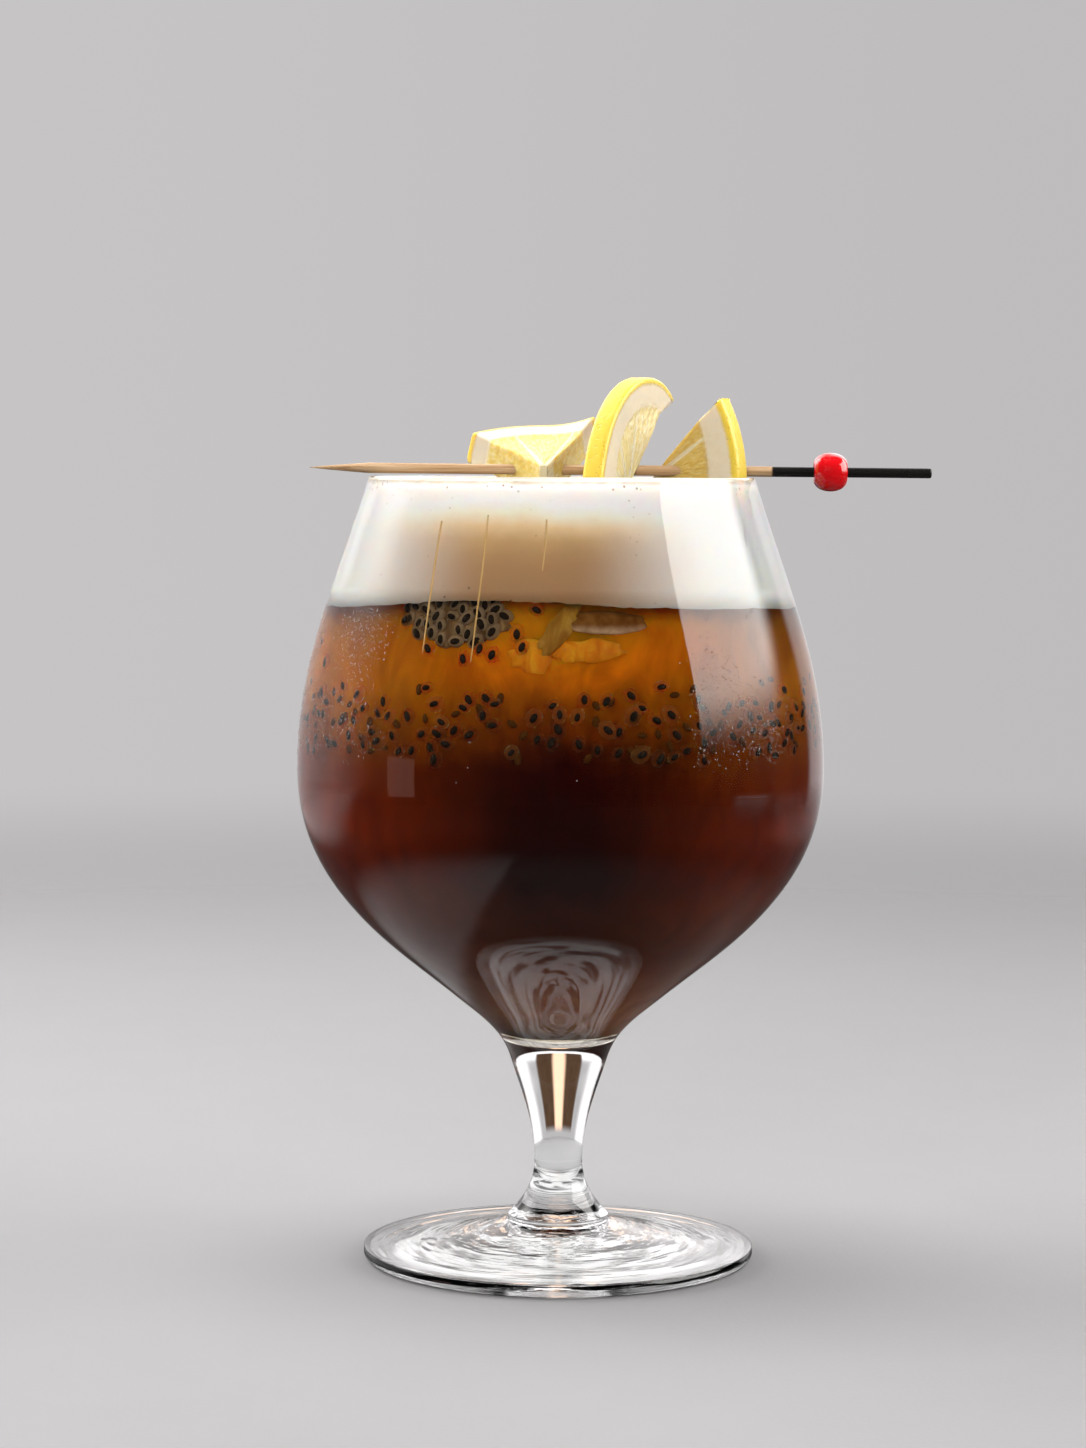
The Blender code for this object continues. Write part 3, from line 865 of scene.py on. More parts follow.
def make_glass(inner, outer):
    lip_radius = RIM_THICKNESS / 2.0
    lip_centre = (outer[0][0] + inner[0][0]) / 2.0
    lip = []
    for step in range(1, LIP_STEPS):
        angle = math.pi * (1.0 - step / LIP_STEPS)
        lip.append((lip_centre + lip_radius * math.cos(angle),
                    outer[0][1] + lip_radius * math.sin(angle)))
    foot = rounded((*outer[-2:], *FOOT_OUTLINE), FOOT_STEPS)[FOOT_STEPS:]
    underside = rounded(FOOT_UNDERSIDE, UNDERSIDE_STEPS)
    outline = inner[-2::-1] + lip + outer[:-1] + foot + underside[1:-1]
    body = body_of_rings([level_ring(radius, height) for radius, height in outline],
                         (0.0, 0.0, inner[-1][1]), (0.0, 0.0, underside[-1][1]))
    materials = (glass_material('clear_glass', GLASS_IOR),
                 glass_material('clear_glass_wetted', GLASS_IOR / TEA_IOR))
    piece = add_piece('goblet', body, materials, ('glass',), shadow=False)
    for face in piece.data.polygons:
        height = face.center.z
        from_axis = face.center.xy.length
        inside = (height > inner[-1][1] - ROUNDING
                  and from_axis < radius_at(inner, height) + WETTED_REACH)
        face.material_index = 1 if inside and height < RIM_HEIGHT - FOAM_EDGE_DROP else 0


def tea_surface(x, y):
    """Height of the line between tea and foam: higher at front and back, with a slow swell."""
    swell = (math.sin(38.0 * x + 1.1) * math.cos(46.0 * y - 0.4)
             + 0.6 * math.sin(92.0 * x - 71.0 * y + 0.7))
    fine = 0.35 * math.sin(310.0 * x + 120.0 * y) + 0.2 * math.sin(700.0 * x - 500.0 * y)
    dip = TEA_DIP * (1.0 - math.exp(-((x + TEA_DIP_FROM) / TEA_DIP_REACH) ** 2))
    ripple = TEA_RIPPLE * noise.noise(Vector((x, y, 0.0)) * 550.0)
    bow = TEA_BOW * (y / TEA_BOW_REACH) ** 2
    return TEA_LEVEL + bow - dip + ripple + TEA_WAVE * (swell + 0.7 * fine)


def foam_surface(x, y):
    """Height of the top of the foam: low in the middle, with soft bumps and bubbles."""
    edge = min(math.hypot(x, y) / INNER_STATIONS[0][0], 1.0)
    bumps = math.sin(210.0 * x + 0.8) * math.sin(240.0 * y) + math.sin(330.0 * x - 150.0 * y)
    froth = noise.noise(Vector((x, y, 0.0)) * 900.0) * FOAM_FROTH
    dish = FOAM_DISH * (1.0 - edge ** 2)
    return RIM_HEIGHT - FOAM_EDGE_DROP - dish + FOAM_BUMP * bumps * (1.0 - edge ** 4) + froth


def surface_ring(radius, surface, lift=0.0):
    return [(x, y, surface(x, y) + lift) for x, y, _ in level_ring(radius, 0.0)]


def middle_point(surface, lift=0.0):
    return 0.0, 0.0, surface(0.0, 0.0) + lift


def wall_ring(wall, surface, lift=0.0):
    """Ring where a surface meets the wall outline."""
    radius = radius_at(wall, surface(0.0, 0.0))
    ring = []
    for c, s in map(direction, range(SEGMENTS)):
        height = surface(radius * c, radius * s) + lift
        local = radius_at(wall, height)
        ring.append((local * c, local * s, height))
    return ring


def murk_sink(height):
    """How far the cloudy tea keeps from the wall: wide round the seeds, thin below them."""
    share = clamped((height - MURK_BEND_LOW) / (MURK_BEND_TOP - MURK_BEND_LOW))
    share = share * share * (3.0 - 2.0 * share)
    return MURK_SINK_LOW + (MURK_SINK - MURK_SINK_LOW) * share


def make_tea(inner):
    """The clear tea against the glass, with its absorption, and the cloudy tea inside it."""
    wall = widened(inner, INTO_WALL)
    rings = [surface_ring(share * TEA_TOP_RADIUS, tea_surface, TEA_INTO_FOAM)
             for share in TEA_TOP_SHARES]
    rings.append(wall_ring(wall, tea_surface, TEA_INTO_FOAM))
    rings += [level_ring(r, z) for r, z in wall[:-1] if z < TEA_LEVEL - TEA_SIDE_GAP]
    body = body_of_rings(rings, middle_point(tea_surface, TEA_INTO_FOAM), (0.0, 0.0, wall[-1][1]))
    add_piece('tea_body', body, tea_material(), ('tea',))
    floor = inner[-1][1] + MURK_SINK_LOW
    rings = [surface_ring(share * MURK_TOP_RADIUS, tea_surface, -MURK_BELOW_FOAM)
             for share in TEA_TOP_SHARES]
    for wall_radius, height in widened(inner, 0.0):
        radius = wall_radius - murk_sink(height)
        if height < TEA_LEVEL - MURK_SIDE_GAP and radius > MURK_LEAST_RADIUS:
            rings.append(level_ring(radius, max(height, floor + MURK_FLOOR_SLOPE * radius)))
    body = body_of_rings(rings, middle_point(tea_surface, -MURK_BELOW_FOAM), (0.0, 0.0, floor))
    add_piece('tea_cloud', body, murk_material())


def make_foam(inner):
    wall = widened(inner, INTO_WALL)
    low, high = TEA_LEVEL + FOAM_LOW_GAP, RIM_HEIGHT - FOAM_HIGH_GAP
    rim_radius = radius_at(wall, RIM_HEIGHT - FOAM_EDGE_DROP)
    rings = [surface_ring(share * TEA_TOP_RADIUS, tea_surface) for share in FOAM_LOW_SHARES]
    rings.append(wall_ring(wall, tea_surface))
    for k in range(FOAM_SIDE_STEPS + 1):
        height = low + (high - low) * k / FOAM_SIDE_STEPS
        rings.append(level_ring(radius_at(wall, height), height))
    rings.append(wall_ring(wall, foam_surface))
    rings += [surface_ring(rim_radius * (1.0 - k / FOAM_TOP_STEPS), foam_surface)
              for k in range(1, FOAM_TOP_STEPS - 1)]
    body = body_of_rings(rings, middle_point(tea_surface), middle_point(foam_surface))
    add_piece('foam_layer', body, foam_material(), ('foam',))


# Pick, bead and lemon


def axis_height(x):
    return PICK_HEIGHT - PICK_FALL * x


def rod(stations, sides):
    """Rings about the pick's axis; stations are x and radius."""
    return [[(x, radius * c, axis_height(x) + radius * s)
             for c, s in (direction(k, sides) for k in range(sides))]
            for x, radius in stations]


def make_pick():
    stations = [(PICK_TIP_X, PICK_TIP_RADIUS)]
    taper = PICK_SHOULDER_X - PICK_TIP_X
    for step in range(1, PICK_TAPER_STEPS + 1):
        share = step / PICK_TAPER_STEPS
        stations.append((PICK_TIP_X + taper * share, PICK_RADIUS * share ** PICK_TIP_FULLNESS))
    length = PICK_END_X - PICK_BEVEL - PICK_SHOULDER_X
    for step in range(1, PICK_STEPS + 1):
        x = PICK_SHOULDER_X + length * step / PICK_STEPS
        wobble = 1.0 + PICK_UNEVEN * noise.noise(Vector((x * PICK_WAVES, 0.3, 0.0)))
        stations.append((x, PICK_RADIUS * min(wobble, 1.0)))
    stations.append((PICK_END_X - PICK_BEVEL_MIDDLE[0], PICK_RADIUS - PICK_BEVEL_MIDDLE[1]))
    stations.append((PICK_END_X, PICK_RADIUS - PICK_BEVEL))
    body = body_of_rings(rod(stations, PICK_SIDES), (PICK_TIP_X, 0.0, axis_height(PICK_TIP_X)),
                         (PICK_END_X, 0.0, axis_height(PICK_END_X)))
    add_piece('bamboo_pick', body, bamboo_material(), ('pick',))


def make_bead():
    half = BEAD_LENGTH / 2.0
    stations = []
    for step in range(BEAD_STEPS + 1):
        angle = BEAD_SWEEP * (2.0 * step / BEAD_STEPS - 1.0)
        x = BEAD_X + half * math.sin(angle) / math.sin(BEAD_SWEEP)
        stations.append((x, BEAD_RADIUS * math.cos(angle) ** BEAD_FULLNESS))
    stations += [(BEAD_X + half * share, BEAD_BORE) for share in BEAD_BORE_SHARES]
    rows = index_rows(len(stations), BEAD_SIDES)
    vertices = [point for ring in rod(stations, BEAD_SIDES) for point in ring]
    body = vertices, ring_faces(rows + rows[:1])
    add_piece('lacquered_bead', body, bead_material(), ('bead',))


def flesh_relief(angle, share):
    """Depth change of a cut face: flesh lies low and swells between membranes."""
    phase = (angle % LEMON_SEGMENT) / LEMON_SEGMENT
    swell = math.sin(math.pi * phase) ** FLESH_FULLNESS * math.sin(math.pi * share)
    return FLESH_BULGE * swell - FLESH_SINK


def make_lemon(piece):
    """A finer mesh of one slice, with polar coordinates kept for its material."""
    steps = round(math.degrees(piece.arc[1] - piece.arc[0]) / LEMON_STEP)
    half = piece.thickness / 2.0
    bm = bmesh.new()
    polar_layer = bm.verts.layers.float_vector.new('polar')
    rind_layer = bm.verts.layers.float.new('from_rind')

    def point(angle, radius, depth, reach, step):
        flesh = reach - RIND - PITH
        share = (radius - CORE_RADIUS) / (flesh - CORE_RADIUS)
        stand = piece.lip[1] if step == steps else 0.0
        if step < LIP_REACH:
            stand = -piece.lip[0] * (1.0 - step / LIP_REACH) ** 2
        slide = stand * clamped((radius - flesh) / PITH)
        shift = math.asin(clamped(slide / radius, -0.9, 0.9))
        spread = 1.0 - 0.5 * piece.taper / reach * depth / half
        relief = 0.0
        if share < 1.0:
            grain = noise.noise(Vector((radius * 420.0, angle * 13.0, depth * 400.0)))
            relief = (flesh_relief(angle, share) + FLESH_GRAIN * grain) * depth / half
        spot = piece.place(angle + shift, radius * spread, depth + relief)
        spot.z = min(spot.z, CAD_BOX[1][2])
        vertex = bm.verts.new(spot)
        vertex[polar_layer] = (radius / MM, angle, depth / MM)
        vertex[rind_layer] = (reach - radius) / MM
        return vertex

    def profile(step):
        angle = piece.arc[0] + (piece.arc[1] - piece.arc[0]) * step / steps
        reach = piece.reach(angle)
        flat = reach - RIND_ROUND
        front = [(CORE_RADIUS + (flat - CORE_RADIUS) * k / FACE_STEPS, half)
                 for k in range(FACE_STEPS + 1)]
        for k in range(1, RIND_STEPS + 1):
            a = math.pi / (2.0 * RIND_STEPS) * k
            front.append((reach - RIND_ROUND * (1.0 - math.sin(a)),
                          half * (RIND_BELLY + (1.0 - RIND_BELLY) * math.cos(a))))
        outline = front + [(r, -d) for r, d in reversed(front)]
        return [point(angle, r, d, reach, step) for r, d in outline]

    def cut_end(row, step):
        """Fill the flat cut at one end of the slice with rows of faces through its depth."""
        angle = piece.arc[1 if step else 0]
        reach = piece.reach(angle)
        columns = []
        for front, back in zip(row[:len(row) // 2], reversed(row)):
            radius = front[polar_layer][0] * MM
            depth = front[polar_layer][2] * MM
            between = [point(angle, radius, depth * (1.0 - 2.0 * k / CUT_STEPS), reach, step)
                       for k in range(1, CUT_STEPS)]
            columns.append([front, *between, back])
        for left, right in zip(columns, columns[1:]):
            for k in range(CUT_STEPS):
                bm.faces.new((left[k], right[k], right[k + 1], left[k + 1]))
        bm.faces.new(columns[0])
        bm.faces.new(columns[-1])

    rows = [profile(step) for step in range(steps + 1)]
    count = len(rows[0])
    for left, right in zip(rows, rows[1:]):
        for k in range(count):
            n = (k + 1) % count
            bm.faces.new((left[k], left[n], right[n], right[k]))
    cut_end(rows[0], 0)
    cut_end(rows[-1], steps)
    bmesh.ops.recalc_face_normals(bm, faces=bm.faces)
    mesh = bpy.data.meshes.new(piece.name + '_slice')
    bm.to_mesh(mesh)
    bm.free()
    add_mesh(piece.name + '_slice', mesh, lemon_material(piece), (piece.name,))


# Things sunk in the tea, and drops on the glass


def wall_place(outline, heading, height, sink):
    """Point inside the bowl, a distance in from the wall; heading 0 faces the camera."""
    radius = radius_at(outline, height) - sink
    return Vector((radius * math.sin(heading), -radius * math.cos(heading), height))


def photo_spot(outline, x_pixel, y_pixel, sink):
    """Point a distance in from the wall that is seen at one place in the photograph."""
    heading, height = 0.0, SPOT_START
    for _ in range(SPOT_ROUNDS):
        radius = radius_at(outline, height) - sink
        away = radius * math.cos(heading) + CAMERA_PLACE[1]
        side = (x_pixel - PHOTO_WIDTH / 2.0 + AXIS_SHIFT_PIXELS) / FOCAL_PIXELS * -away
        heading = math.asin(clamped(side / radius, -0.99, 0.99))
        fall = CAMERA_TILT + (y_pixel - PHOTO_HEIGHT / 2.0) / FOCAL_PIXELS
        height = CAMERA_PLACE[2] + away * math.tan(fall)
    return wall_place(outline, heading, height, sink), heading


def seed_places(inner, rng):
    """Where the seeds lie: those seen in the photograph, the cluster twice, and the band."""
    places = []

    def try_place(spot, heading, gap, group):
        if all((spot - other[0]).length > gap for other in places):
            places.append((spot, heading, group))

    for group, seen in (('pale', PALE_SEEDS), ('clear', CLEAR_SEEDS)):
        for x, y in seen:
            try_place(*photo_spot(inner, x, y, SEEN_SINK), SEEN_GAP, group)
    for turned in (0.0, GEL_REPEAT):
        for _ in range(CLUSTER_TRIES):
            share, angle = math.sqrt(rng.random()), rng.uniform(0.0, 2.0 * math.pi)
            x = GEL_CENTRE[0] + GEL_HALF[0] * share * math.cos(angle)
            y = GEL_CENTRE[1] + GEL_HALF[1] * share * math.sin(angle)
            rise = GEL_RISE * math.sqrt(1.0 - share * share)
            sink = GEL_SINK - rise - rng.uniform(*CLUSTER_DEPTHS) * MM
            spot, heading = photo_spot(inner, x, y, sink)
            try_place(about_axis(turned) @ spot, heading + turned, CLUSTER_GAP, 'cluster')
    for _ in range(BAND_TRIES):
        heading = rng.uniform(-math.pi, math.pi)
        height = BAND_HEIGHT + rng.gauss(0.0, BAND_SPREAD)
        if BAND_LOW < height < BAND_HIGH and len(places) < SEED_LIMIT:
            chance = rng.random()
            group = 'deep' if chance < PALE_OR_DEEP_CHANCE else 'clear'
            if chance < PALE_CHANCE:
                group = 'pale'
            sink = rng.uniform(*DEEP_DEPTHS) if group == 'deep' else rng.choice(BAND_DEPTHS)
            try_place(wall_place(inner, heading, height, sink * MM), heading, BAND_GAP, group)
    return places


def make_seeds(inner):
    """Kernels, their jelly sacs, the cluster's jelly, and bubbles that cling to the sacs."""
    rng = random.Random(SEEDS_DRAW)
    kernels = {'near': [], 'deep': []}
    sacs = {'pale': [], 'clear': [], 'cluster': []}
    bubbles = []
    for index, (spot, heading, group) in enumerate(seed_places(inner, rng)):
        lean = Matrix.Rotation(rng.uniform(-SEED_LEAN, SEED_LEAN), 3, 'X')
        turn = about_axis(heading) @ lean @ Matrix.Rotation(rng.gauss(0.0, SEED_ROLL), 3, 'Y')
        size = rng.uniform(*SEED_SIZES)
        axes = [size * a * MM for a in KERNEL_AXES]
        core = ellipsoid(axes, 7, 10, KERNEL_UNEVEN, index * 1.9)
        if group == 'deep':
            kernels['deep'].append(moved(core, turn, spot))
            continue
        wide = size * (PALE_SAC_SIZE if group == 'pale' else 1.0)
        outward = about_axis(heading) @ Vector((0.0, -KERNEL_OUTWARD * wide, 0.0))
        kernels['near'].append(moved(core, turn, spot + outward))
        axes = [wide * a * MM for a in SAC_AXES]
        sac = ellipsoid(axes, 9, 14, SAC_UNEVEN, index * 3.7)
        sacs[group].append(moved(sac, turn, spot))
        clinging = {'pale': BUBBLES_ON_PALE, 'clear': rng.choice(BUBBLES_ON_CLEAR),
                    'cluster': BUBBLES_IN_CLUSTER}
        for _ in range(clinging[group]):
            angle = rng.uniform(0.0, 2.0 * math.pi)
            edge = Vector((axes[0] * math.cos(angle), -0.5 * axes[1], axes[2] * math.sin(angle)))
            bubble = ellipsoid([rng.uniform(*BUBBLE_SIZES) * MM] * 3, 4, 6)
            bubbles.append(moved(bubble, Matrix.Identity(3), spot + turn @ edge))
    for group, dark, light in (('near', (0.004, 0.003, 0.002), (0.018, 0.010, 0.006)),
                               ('deep', (0.040, 0.014, 0.002), (0.085, 0.030, 0.004))):
        add_piece('seed_kernels_' + group, joined(kernels[group]),
                  seed_material('kernels_' + group, dark, light))
    # The cluster's jelly and its sacs are grey brown and less clear: partly their own colour, partly
    # a painted reflection of the bright card at the left.
    gel = lump(inner, GEL_CENTRE, GEL_HALF, GEL_TURN, GEL_RISE, GEL_SINK, 11.0)
    add_piece('seed_gel', joined([gel, moved(gel, about_axis(GEL_REPEAT))]),
              pulp_material('seed_gel', (0.085, 0.042, 0.018), (0.17, 0.098, 0.050),
                            (0.32, 0.21, 0.125)))
    for group, thin, thick, clear in (
            ('pale', (0.84, 0.54, 0.16), (0.93, 0.68, 0.28), 0.988),
            ('clear', (0.90, 0.68, 0.34), (0.96, 0.78, 0.44), 0.998),
            ('cluster', (0.17, 0.11, 0.062), (0.36, 0.26, 0.17), 0.35)):
        add_piece('seed_sacs_' + group, joined(sacs[group]),
                  sac_material('seed_sacs_' + group, thin, thick, clear), shadow=False)
    add_piece('small_bubbles', joined(bubbles),
              pulp_material('small_bubbles', (0.42, 0.30, 0.18), (0.62, 0.48, 0.32),
                            (0.85, 0.72, 0.55)))


def lump(inner, centre, half, turn, thickness, sink, seed, uneven=LUMP_UNEVEN):
    """A soft uneven pillow against the wall; centre and half size are in photo pixels."""
    c, s = math.cos(turn), math.sin(turn)

    def point(polar, angle):
        rough = noise.noise(Vector((2.2 * math.cos(angle), 2.2 * math.sin(angle), seed)))
        share = math.sin(polar) * (1.0 + uneven * rough)
        across, up = half[0] * share * math.cos(angle), half[1] * share * math.sin(angle)
        x = centre[0] + across * c - up * s
        y = centre[1] + across * s + up * c
        grain = noise.noise(Vector((x * 0.12, y * 0.05, seed))) * LUMP_GRAIN
        depth = sink - thickness * math.cos(polar) * (1.0 + grain)
        return photo_spot(inner, x, y, depth)[0]

    return ball(point, LUMP_RINGS, LUMP_SIDES)


def make_sunk_fruit(inner):
    """Soft citrus under the foam, its pale skin, and a sliver of ice, each with a turned copy."""
    pulp = pulp_material('fruit_pulp', (0.55, 0.155, 0.003), (0.72, 0.255, 0.006),
                         (0.84, 0.42, 0.022))
    membrane = pulp_material('citrus_skin', (0.27, 0.115, 0.012), (0.38, 0.19, 0.026),
                             (0.54, 0.32, 0.06))
    for name, seen, behind, angle, material in (
            ('sunk_citrus', CITRUS_LOBES, CITRUS_BEHIND, CITRUS_REPEAT, pulp),
            ('sunk_membrane', [CITRUS_SKIN], CITRUS_SKIN, SKIN_REPEAT, membrane),
            ('sunk_ice', [ICE_SLIVER], ICE_SLIVER, ICE_REPEAT, ice_material())):
        copied = moved(lump(inner, *behind), about_axis(angle))
        add_piece(name, joined([*(lump(inner, *row) for row in seen), copied]), material)


def make_streaks(inner):
    """Thin golden runs set into the wall of the glass, in front of foam and tea."""
    streaks = []
    for points in RUN_LINES:
        middle = rounded([(x + RUN_SHIFT, float(y)) for x, y in points], RUN_STEPS)
        rings = []
        for index, (x, y) in enumerate(middle):
            along = index / (len(middle) - 1.0)
            reach = min(1.0, RUN_START + along * (1.0 - RUN_START))
            half = RUN_HALF * math.sin(math.pi * reach) ** RUN_FULLNESS + RUN_LEAST_HALF
            rings.append([photo_spot(inner, x + half * c, y, RUN_DEPTH - RUN_THICKNESS * s)[0]
                          for c, s in (direction(k, RUN_SIDES) for k in range(RUN_SIDES))])
        first, last = (sum(ring, Vector()) / RUN_SIDES for ring in (rings[0], rings[-1]))
        streaks.append(body_of_rings(rings, first, last))
    material = mottled('golden_runs', 300.0, 3.0, (0.50, 0.29, 0.08), (0.72, 0.51, 0.24),
                       Roughness=0.3, IOR=1.1, Transmission_Weight=0.5)
    add_piece('golden_runs', joined(streaks), material, shadow=False)


def past(value, edge):
    """How far a value is past the start of an edge, in shares of its width."""
    return (value - edge[0]) / edge[1]


def make_drops(outer):
    """Fine condensation on the outside of the bowl, thickest at the sides."""
    rng = random.Random(DROPS_DRAW)
    drops = []
    while len(drops) < DROP_COUNT:
        heading = rng.uniform(-math.pi, math.pi)
        height = rng.uniform(*DROP_HEIGHTS) * MM
        side = math.sin(heading)
        left = clamped(past(-side, DROPS_LEFT))
        right = clamped(min(past(side, DROPS_RIGHT), -past(side, DROPS_RIGHT_END)))
        right *= clamped(-past(height, DROPS_RIGHT_TOP), DROPS_RIGHT_TOP_SHARE)
        chance = DROP_LEAST_CHANCE + (left + right) * clamped(past(height, DROPS_BOTTOM))
        chance *= 0.4 + 0.8 * noise.noise(Vector((heading * 3.0, height * 90.0, 0.0)))
        if rng.random() > chance:
            continue
        size = rng.choice(DROP_SIZES) * rng.uniform(0.8, 1.2) * MM
        rise = size * DROP_FLATNESS
        spot = wall_place(outer, heading, height, 0.0)
        if max(abs(spot.x), abs(spot.y)) + rise > OUTER_STATIONS[1][0]:
            continue
        dome = ellipsoid((size, rise, size * rng.uniform(*DROP_STRETCH)), 3, 5)
        drops.append(moved(dome, about_axis(heading), spot))
    material = mottled('water_drops', 90.0, 3.0, (0.99, 0.99, 0.99), (0.95, 0.96, 0.97),
                       Roughness=0.02, IOR=1.33, Transmission_Weight=0.94)
    add_piece('condensation', joined(drops), material, shadow=False)


# Stage


def add_stage(name, data, unseen=()):
    """Add a thing of the studio, unseen by some kinds of rays."""
    thing = bpy.data.objects.new(name, data)
    for rays in unseen:
        setattr(thing, 'visible_' + rays, False)
    bpy.context.scene.collection.objects.link(thing)
    return thing


def sheet(name, point, columns, rows, material):
    """A grid of faces; point gives the place for the shares across and up."""
    shares = [(k / columns, j / rows) for j in range(rows + 1) for k in range(columns + 1)]
    faces = []
    for j in range(rows):
        for k in range(columns):
            low = j * (columns + 1) + k
            faces.append((low, low + 1, low + columns + 2, low + columns + 1))
    mesh = bpy.data.meshes.new(name)
    mesh.from_pydata([point(u, v) for u, v in shares], [], faces)
    layer = mesh.uv_layers.new(name='across')
    for loop in mesh.loops:
        layer.data[loop.index].uv = shares[loop.vertex_index]
    mesh.materials.append(material)
    return mesh


def make_floor():
    """Pale paper, darker to the right as painted shade; reflections see only parts of it and black
    elsewhere, and under the foot a painted glow stands for light gathered by the glass.
    """
    tree, place = new_material('paper_floor')
    x, y, _ = place.split()
    distance = place.length()
    mottle = place.noise(30.0, 5.0, 0.6)
    # Painted shade: the paper is darker to the right of the glass.
    paper = x.span(0.0, 0.16).mix(mottle.mix((0.197, 0.1925, 0.194), (0.209, 0.2045, 0.206)),
                                  mottle.mix((0.183, 0.179, 0.180), (0.195, 0.191, 0.192)))
    # Painted light: a bright, glowing streaky patch under the foot stands for light the glass
    # gathers there.
    glint = place.rings(1.2, 250.0).noise(1.0, 1.0, 0.5, 0.2)
    painted_caustics = distance.fade(0.030, 0.037) * glint.span(0.40, 0.54, 0.10, 1.0)
    reflected = tree.math('SUBTRACT', tree.ray('Is Glossy Ray'), tree.ray('Is Transmission Ray'),
                          clamp=True)
    near = distance.fade(0.10, 0.16) * x.span(-0.05, -0.04, 0.8, 0.15)
    behind = abs(x).span(0.18, 0.26) * y.span(0.04, 0.14)
    shown = near + behind * x.span(-0.1, 0.1, 0.9, 0.25)
    hidden = reflected * tree.math('SUBTRACT', 0.98, shown, clamp=True)
    colour = hidden.mix(painted_caustics.mix(paper, (0.75, 0.75, 0.75)), (0.0, 0.0, 0.0))
    tree.finish(Base_Color=colour, Roughness=0.9, Emission_Color=(1.0, 0.99, 0.98),
                Emission_Strength=painted_caustics * (1.0 - hidden) * 0.62,
                Normal=place.noise(900.0).bump(0.15, 0.0003))
    tree.show(distance.span(0.25, 1.1), tree.main_shader(), tree.clear_shader())

    def point(u, v):
        return FLOOR_HALF * (2.0 * u - 1.0), FLOOR_HALF * (2.0 * v - 1.0), 0.0

    floor = add_stage('floor', sheet('floor', point, 1, 1, tree.owner))


def make_world():
    """Plain grey for the camera; reflections see a dark room in front; glass sees bright sides."""
    tree = Tree('studio', 'worlds')
    x, y, z = tree.place('Generated').split()
    above_back = z.span(0.10, 0.26) * y.span(0.25, 0.6) * abs(x).fade(0.45, 0.65)
    lobes = abs(x + 0.04).span(0.05, 0.22, 0.35, 1.0)
    left_back = (y - x * 0.4).span(0.36, 0.86, 0.05, 1.05)
    right_back = (y - x * 0.7).span(0.20, 0.36, 0.03, 1.6)
    mirrored = x.span(-0.05, 0.05).choose(left_back, right_back) + above_back * (lobes * 3.2)
    sides = abs(x).span(0.42, 0.6) * y.span(-0.45, -0.2)
    raised = z.span(0.20, 0.36) * y.span(-0.3, 0.0)
    bright = tree.math('MAXIMUM', sides, raised) * z.span(-0.45, -0.15)
    through = y.span(-0.3, 0.2, 0.5, 1.0) + bright * 1.7
    strength = tree.ray('Is Glossy Ray').choose(0.55, mirrored)
    strength = tree.ray('Is Transmission Ray').choose(strength, through)
    strength = tree.ray('Is Camera Ray').choose(strength, x.span(-0.16, 0.16, 1.04, 0.95))
    background = tree.nodes['Background']
    tree.put(background.inputs['Color'], (0.546, 0.530, 0.535))
    tree.put(background.inputs['Strength'], strength)
    bpy.context.scene.world = tree.owner


def make_light(name, centre, size, aim, radiance):
    """An even area light that no reflection shows; the cards give the reflections."""
    light = bpy.data.lights.new(name, 'AREA')
    light.shape = 'RECTANGLE'
    light.size, light.size_y = size
    light.energy = radiance * math.pi * size[0] * size[1]
    lamp = add_stage(name, light, ('camera', 'glossy', 'transmission'))
    lamp.location = centre
    lamp.rotation_euler = (Vector(aim) - Vector(centre)).to_track_quat('-Z', 'Y').to_euler()


def add_card(tree, glow, colour, strength, point, columns, rows, unseen):
    """A glowing sheet that fades out where glow is low."""
    shine = tree.node('ShaderNodeEmission', colour, strength)
    tree.show(glow, tree.clear_shader(), shine)
    name = tree.owner.name
    card = add_stage(name, sheet(name, point, columns, rows, tree.owner),
                     ('camera', 'diffuse', 'shadow', unseen))


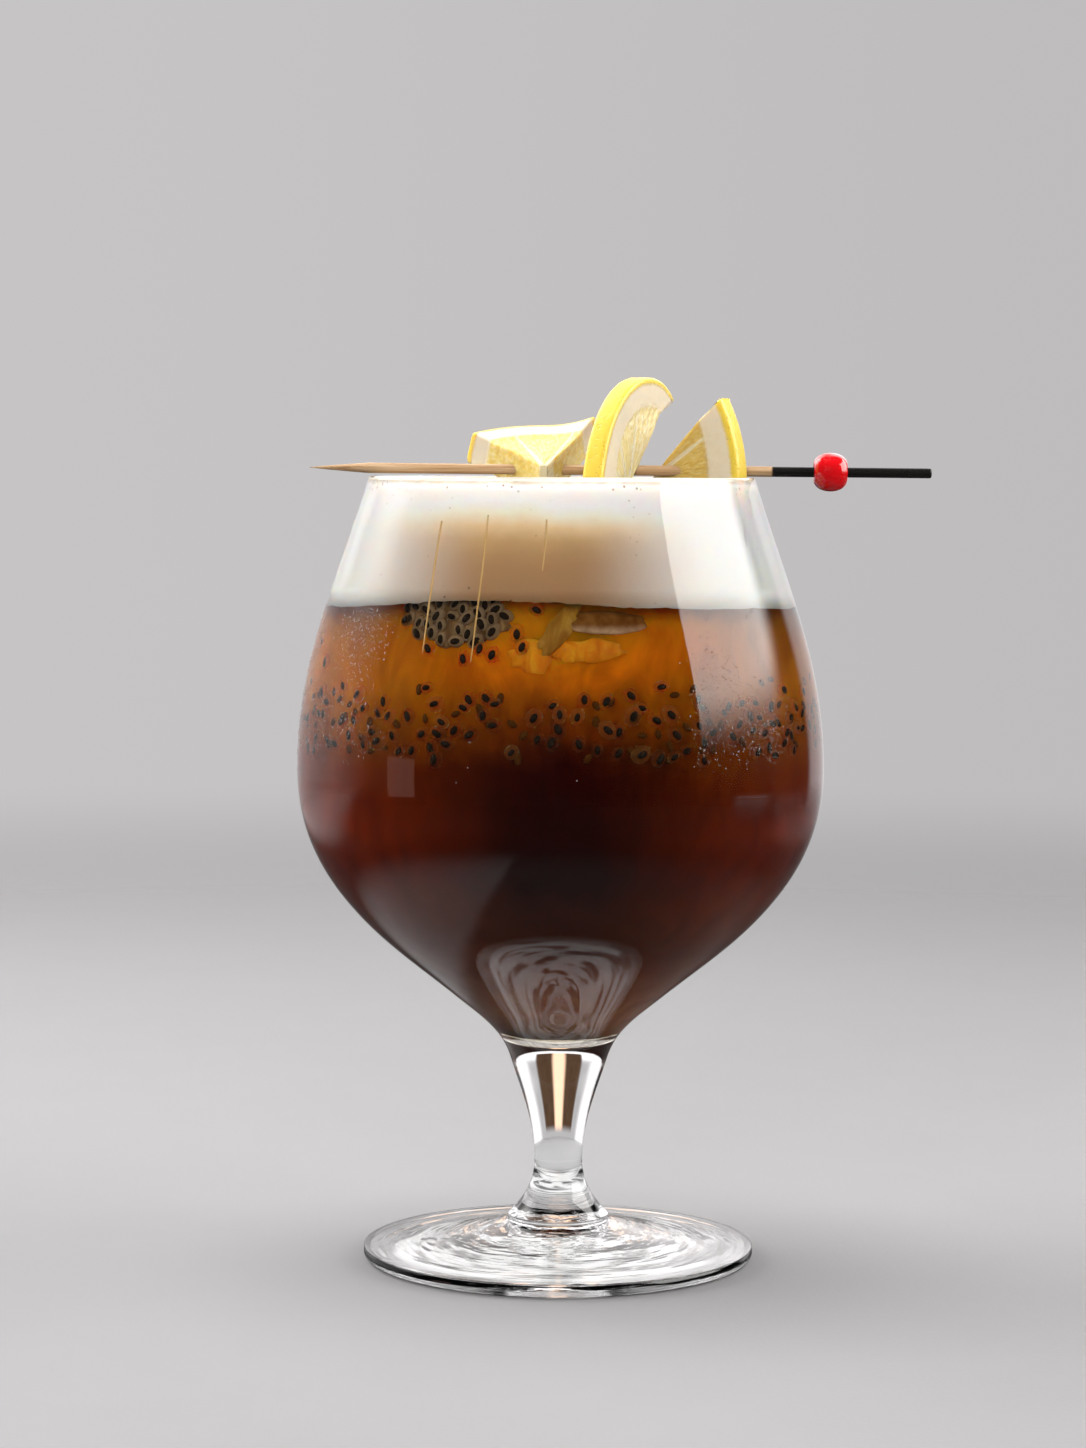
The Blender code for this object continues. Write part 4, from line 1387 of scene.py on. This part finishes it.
def make_card(name, distance, azimuths, elevations, radiance, soft, colour=CARD_COLOUR, slant=0.0):
    """A card seen in reflections alone; azimuth 0 is towards the camera, 90 is right.

    soft gives the share of the card over which it fades at left, right, bottom and top;
    slant draws in the lower end of its right edge.
    """
    tree = Tree(name)
    u, v, _ = tree.place('UV').split()
    glow = (u.span(0.0, soft[0]) * (u + (1.0 - v) * slant).fade(1.0 - soft[1], 1.0)
            * v.span(0.0, soft[2]) * v.fade(1.0 - soft[3], 1.0))

    def point(across, up):
        azimuth, elevation = (math.radians(ends[0] + (ends[1] - ends[0]) * share)
                              for ends, share in ((azimuths, across), (elevations, up)))
        return (distance * math.sin(azimuth), -distance * math.cos(azimuth),
                CARD_HEIGHT + distance * math.tan(elevation))

    add_card(tree, glow, colour, glow * radiance, point, CARD_COLUMNS, CARD_ROWS, 'transmission')


def make_amber_card():
    """A small amber card behind the stem, seen only through the glass."""
    tree, place = new_material('amber_card')
    u, v, _ = tree.place('UV').split()
    off_middle = abs(u - 0.5)
    brown = place.noise(60.0).mix((0.06, 0.029, 0.015), (0.15, 0.085, 0.048))
    colour = off_middle.fade(0.07, 0.15).mix(brown, (1.55, 1.02, 0.70))
    glow = off_middle.fade(0.42, 0.5) * (v.fade(0.92, 1.0) * v.span(0.17, 0.26))

    def point(across, up):
        return (AMBER_HALF * (2.0 * across - 1.0), AMBER_BACK,
                AMBER_LOW + (AMBER_HIGH - AMBER_LOW) * up)

    add_card(tree, glow, colour, 1.0, point, 1, 1, 'glossy')


def make_camera():
    camera = bpy.data.cameras.new('camera')
    camera.lens = CAMERA_LENS
    camera.sensor_width = SENSOR
    camera.shift_x = AXIS_SHIFT_PIXELS / PHOTO_HEIGHT
    viewer = add_stage('camera', camera)
    viewer.location = CAMERA_PLACE
    viewer.rotation_euler = (math.radians(90.0) - CAMERA_TILT, CAMERA_ROLL, 0.0)
    bpy.context.scene.camera = viewer


def main():
    inner = smooth_outline(INNER_STATIONS)
    outer = smooth_outline(OUTER_STATIONS)
    make_glass(inner, outer)
    make_tea(inner)
    make_foam(inner)
    make_seeds(inner)
    make_sunk_fruit(inner)
    make_streaks(inner)
    make_drops(outer)
    make_pick()
    make_bead()
    for piece in SLICES:
        make_lemon(piece)
    make_floor()
    make_world()
    for row in LAMPS:
        make_light(*row)
    for row in CARDS:
        make_card(*row)
    make_amber_card()
    make_camera()
    scene = bpy.context.scene
    scene.view_settings.view_transform = 'Standard'
    scene.cycles.use_denoising = True
    scene.cycles.caustics_reflective = False
    scene.cycles.caustics_refractive = False
    scene.cycles.max_bounces = LIGHT_BOUNCES
    scene.cycles.transmission_bounces = LIGHT_BOUNCES
    scene.cycles.transparent_max_bounces = LIGHT_BOUNCES


main()
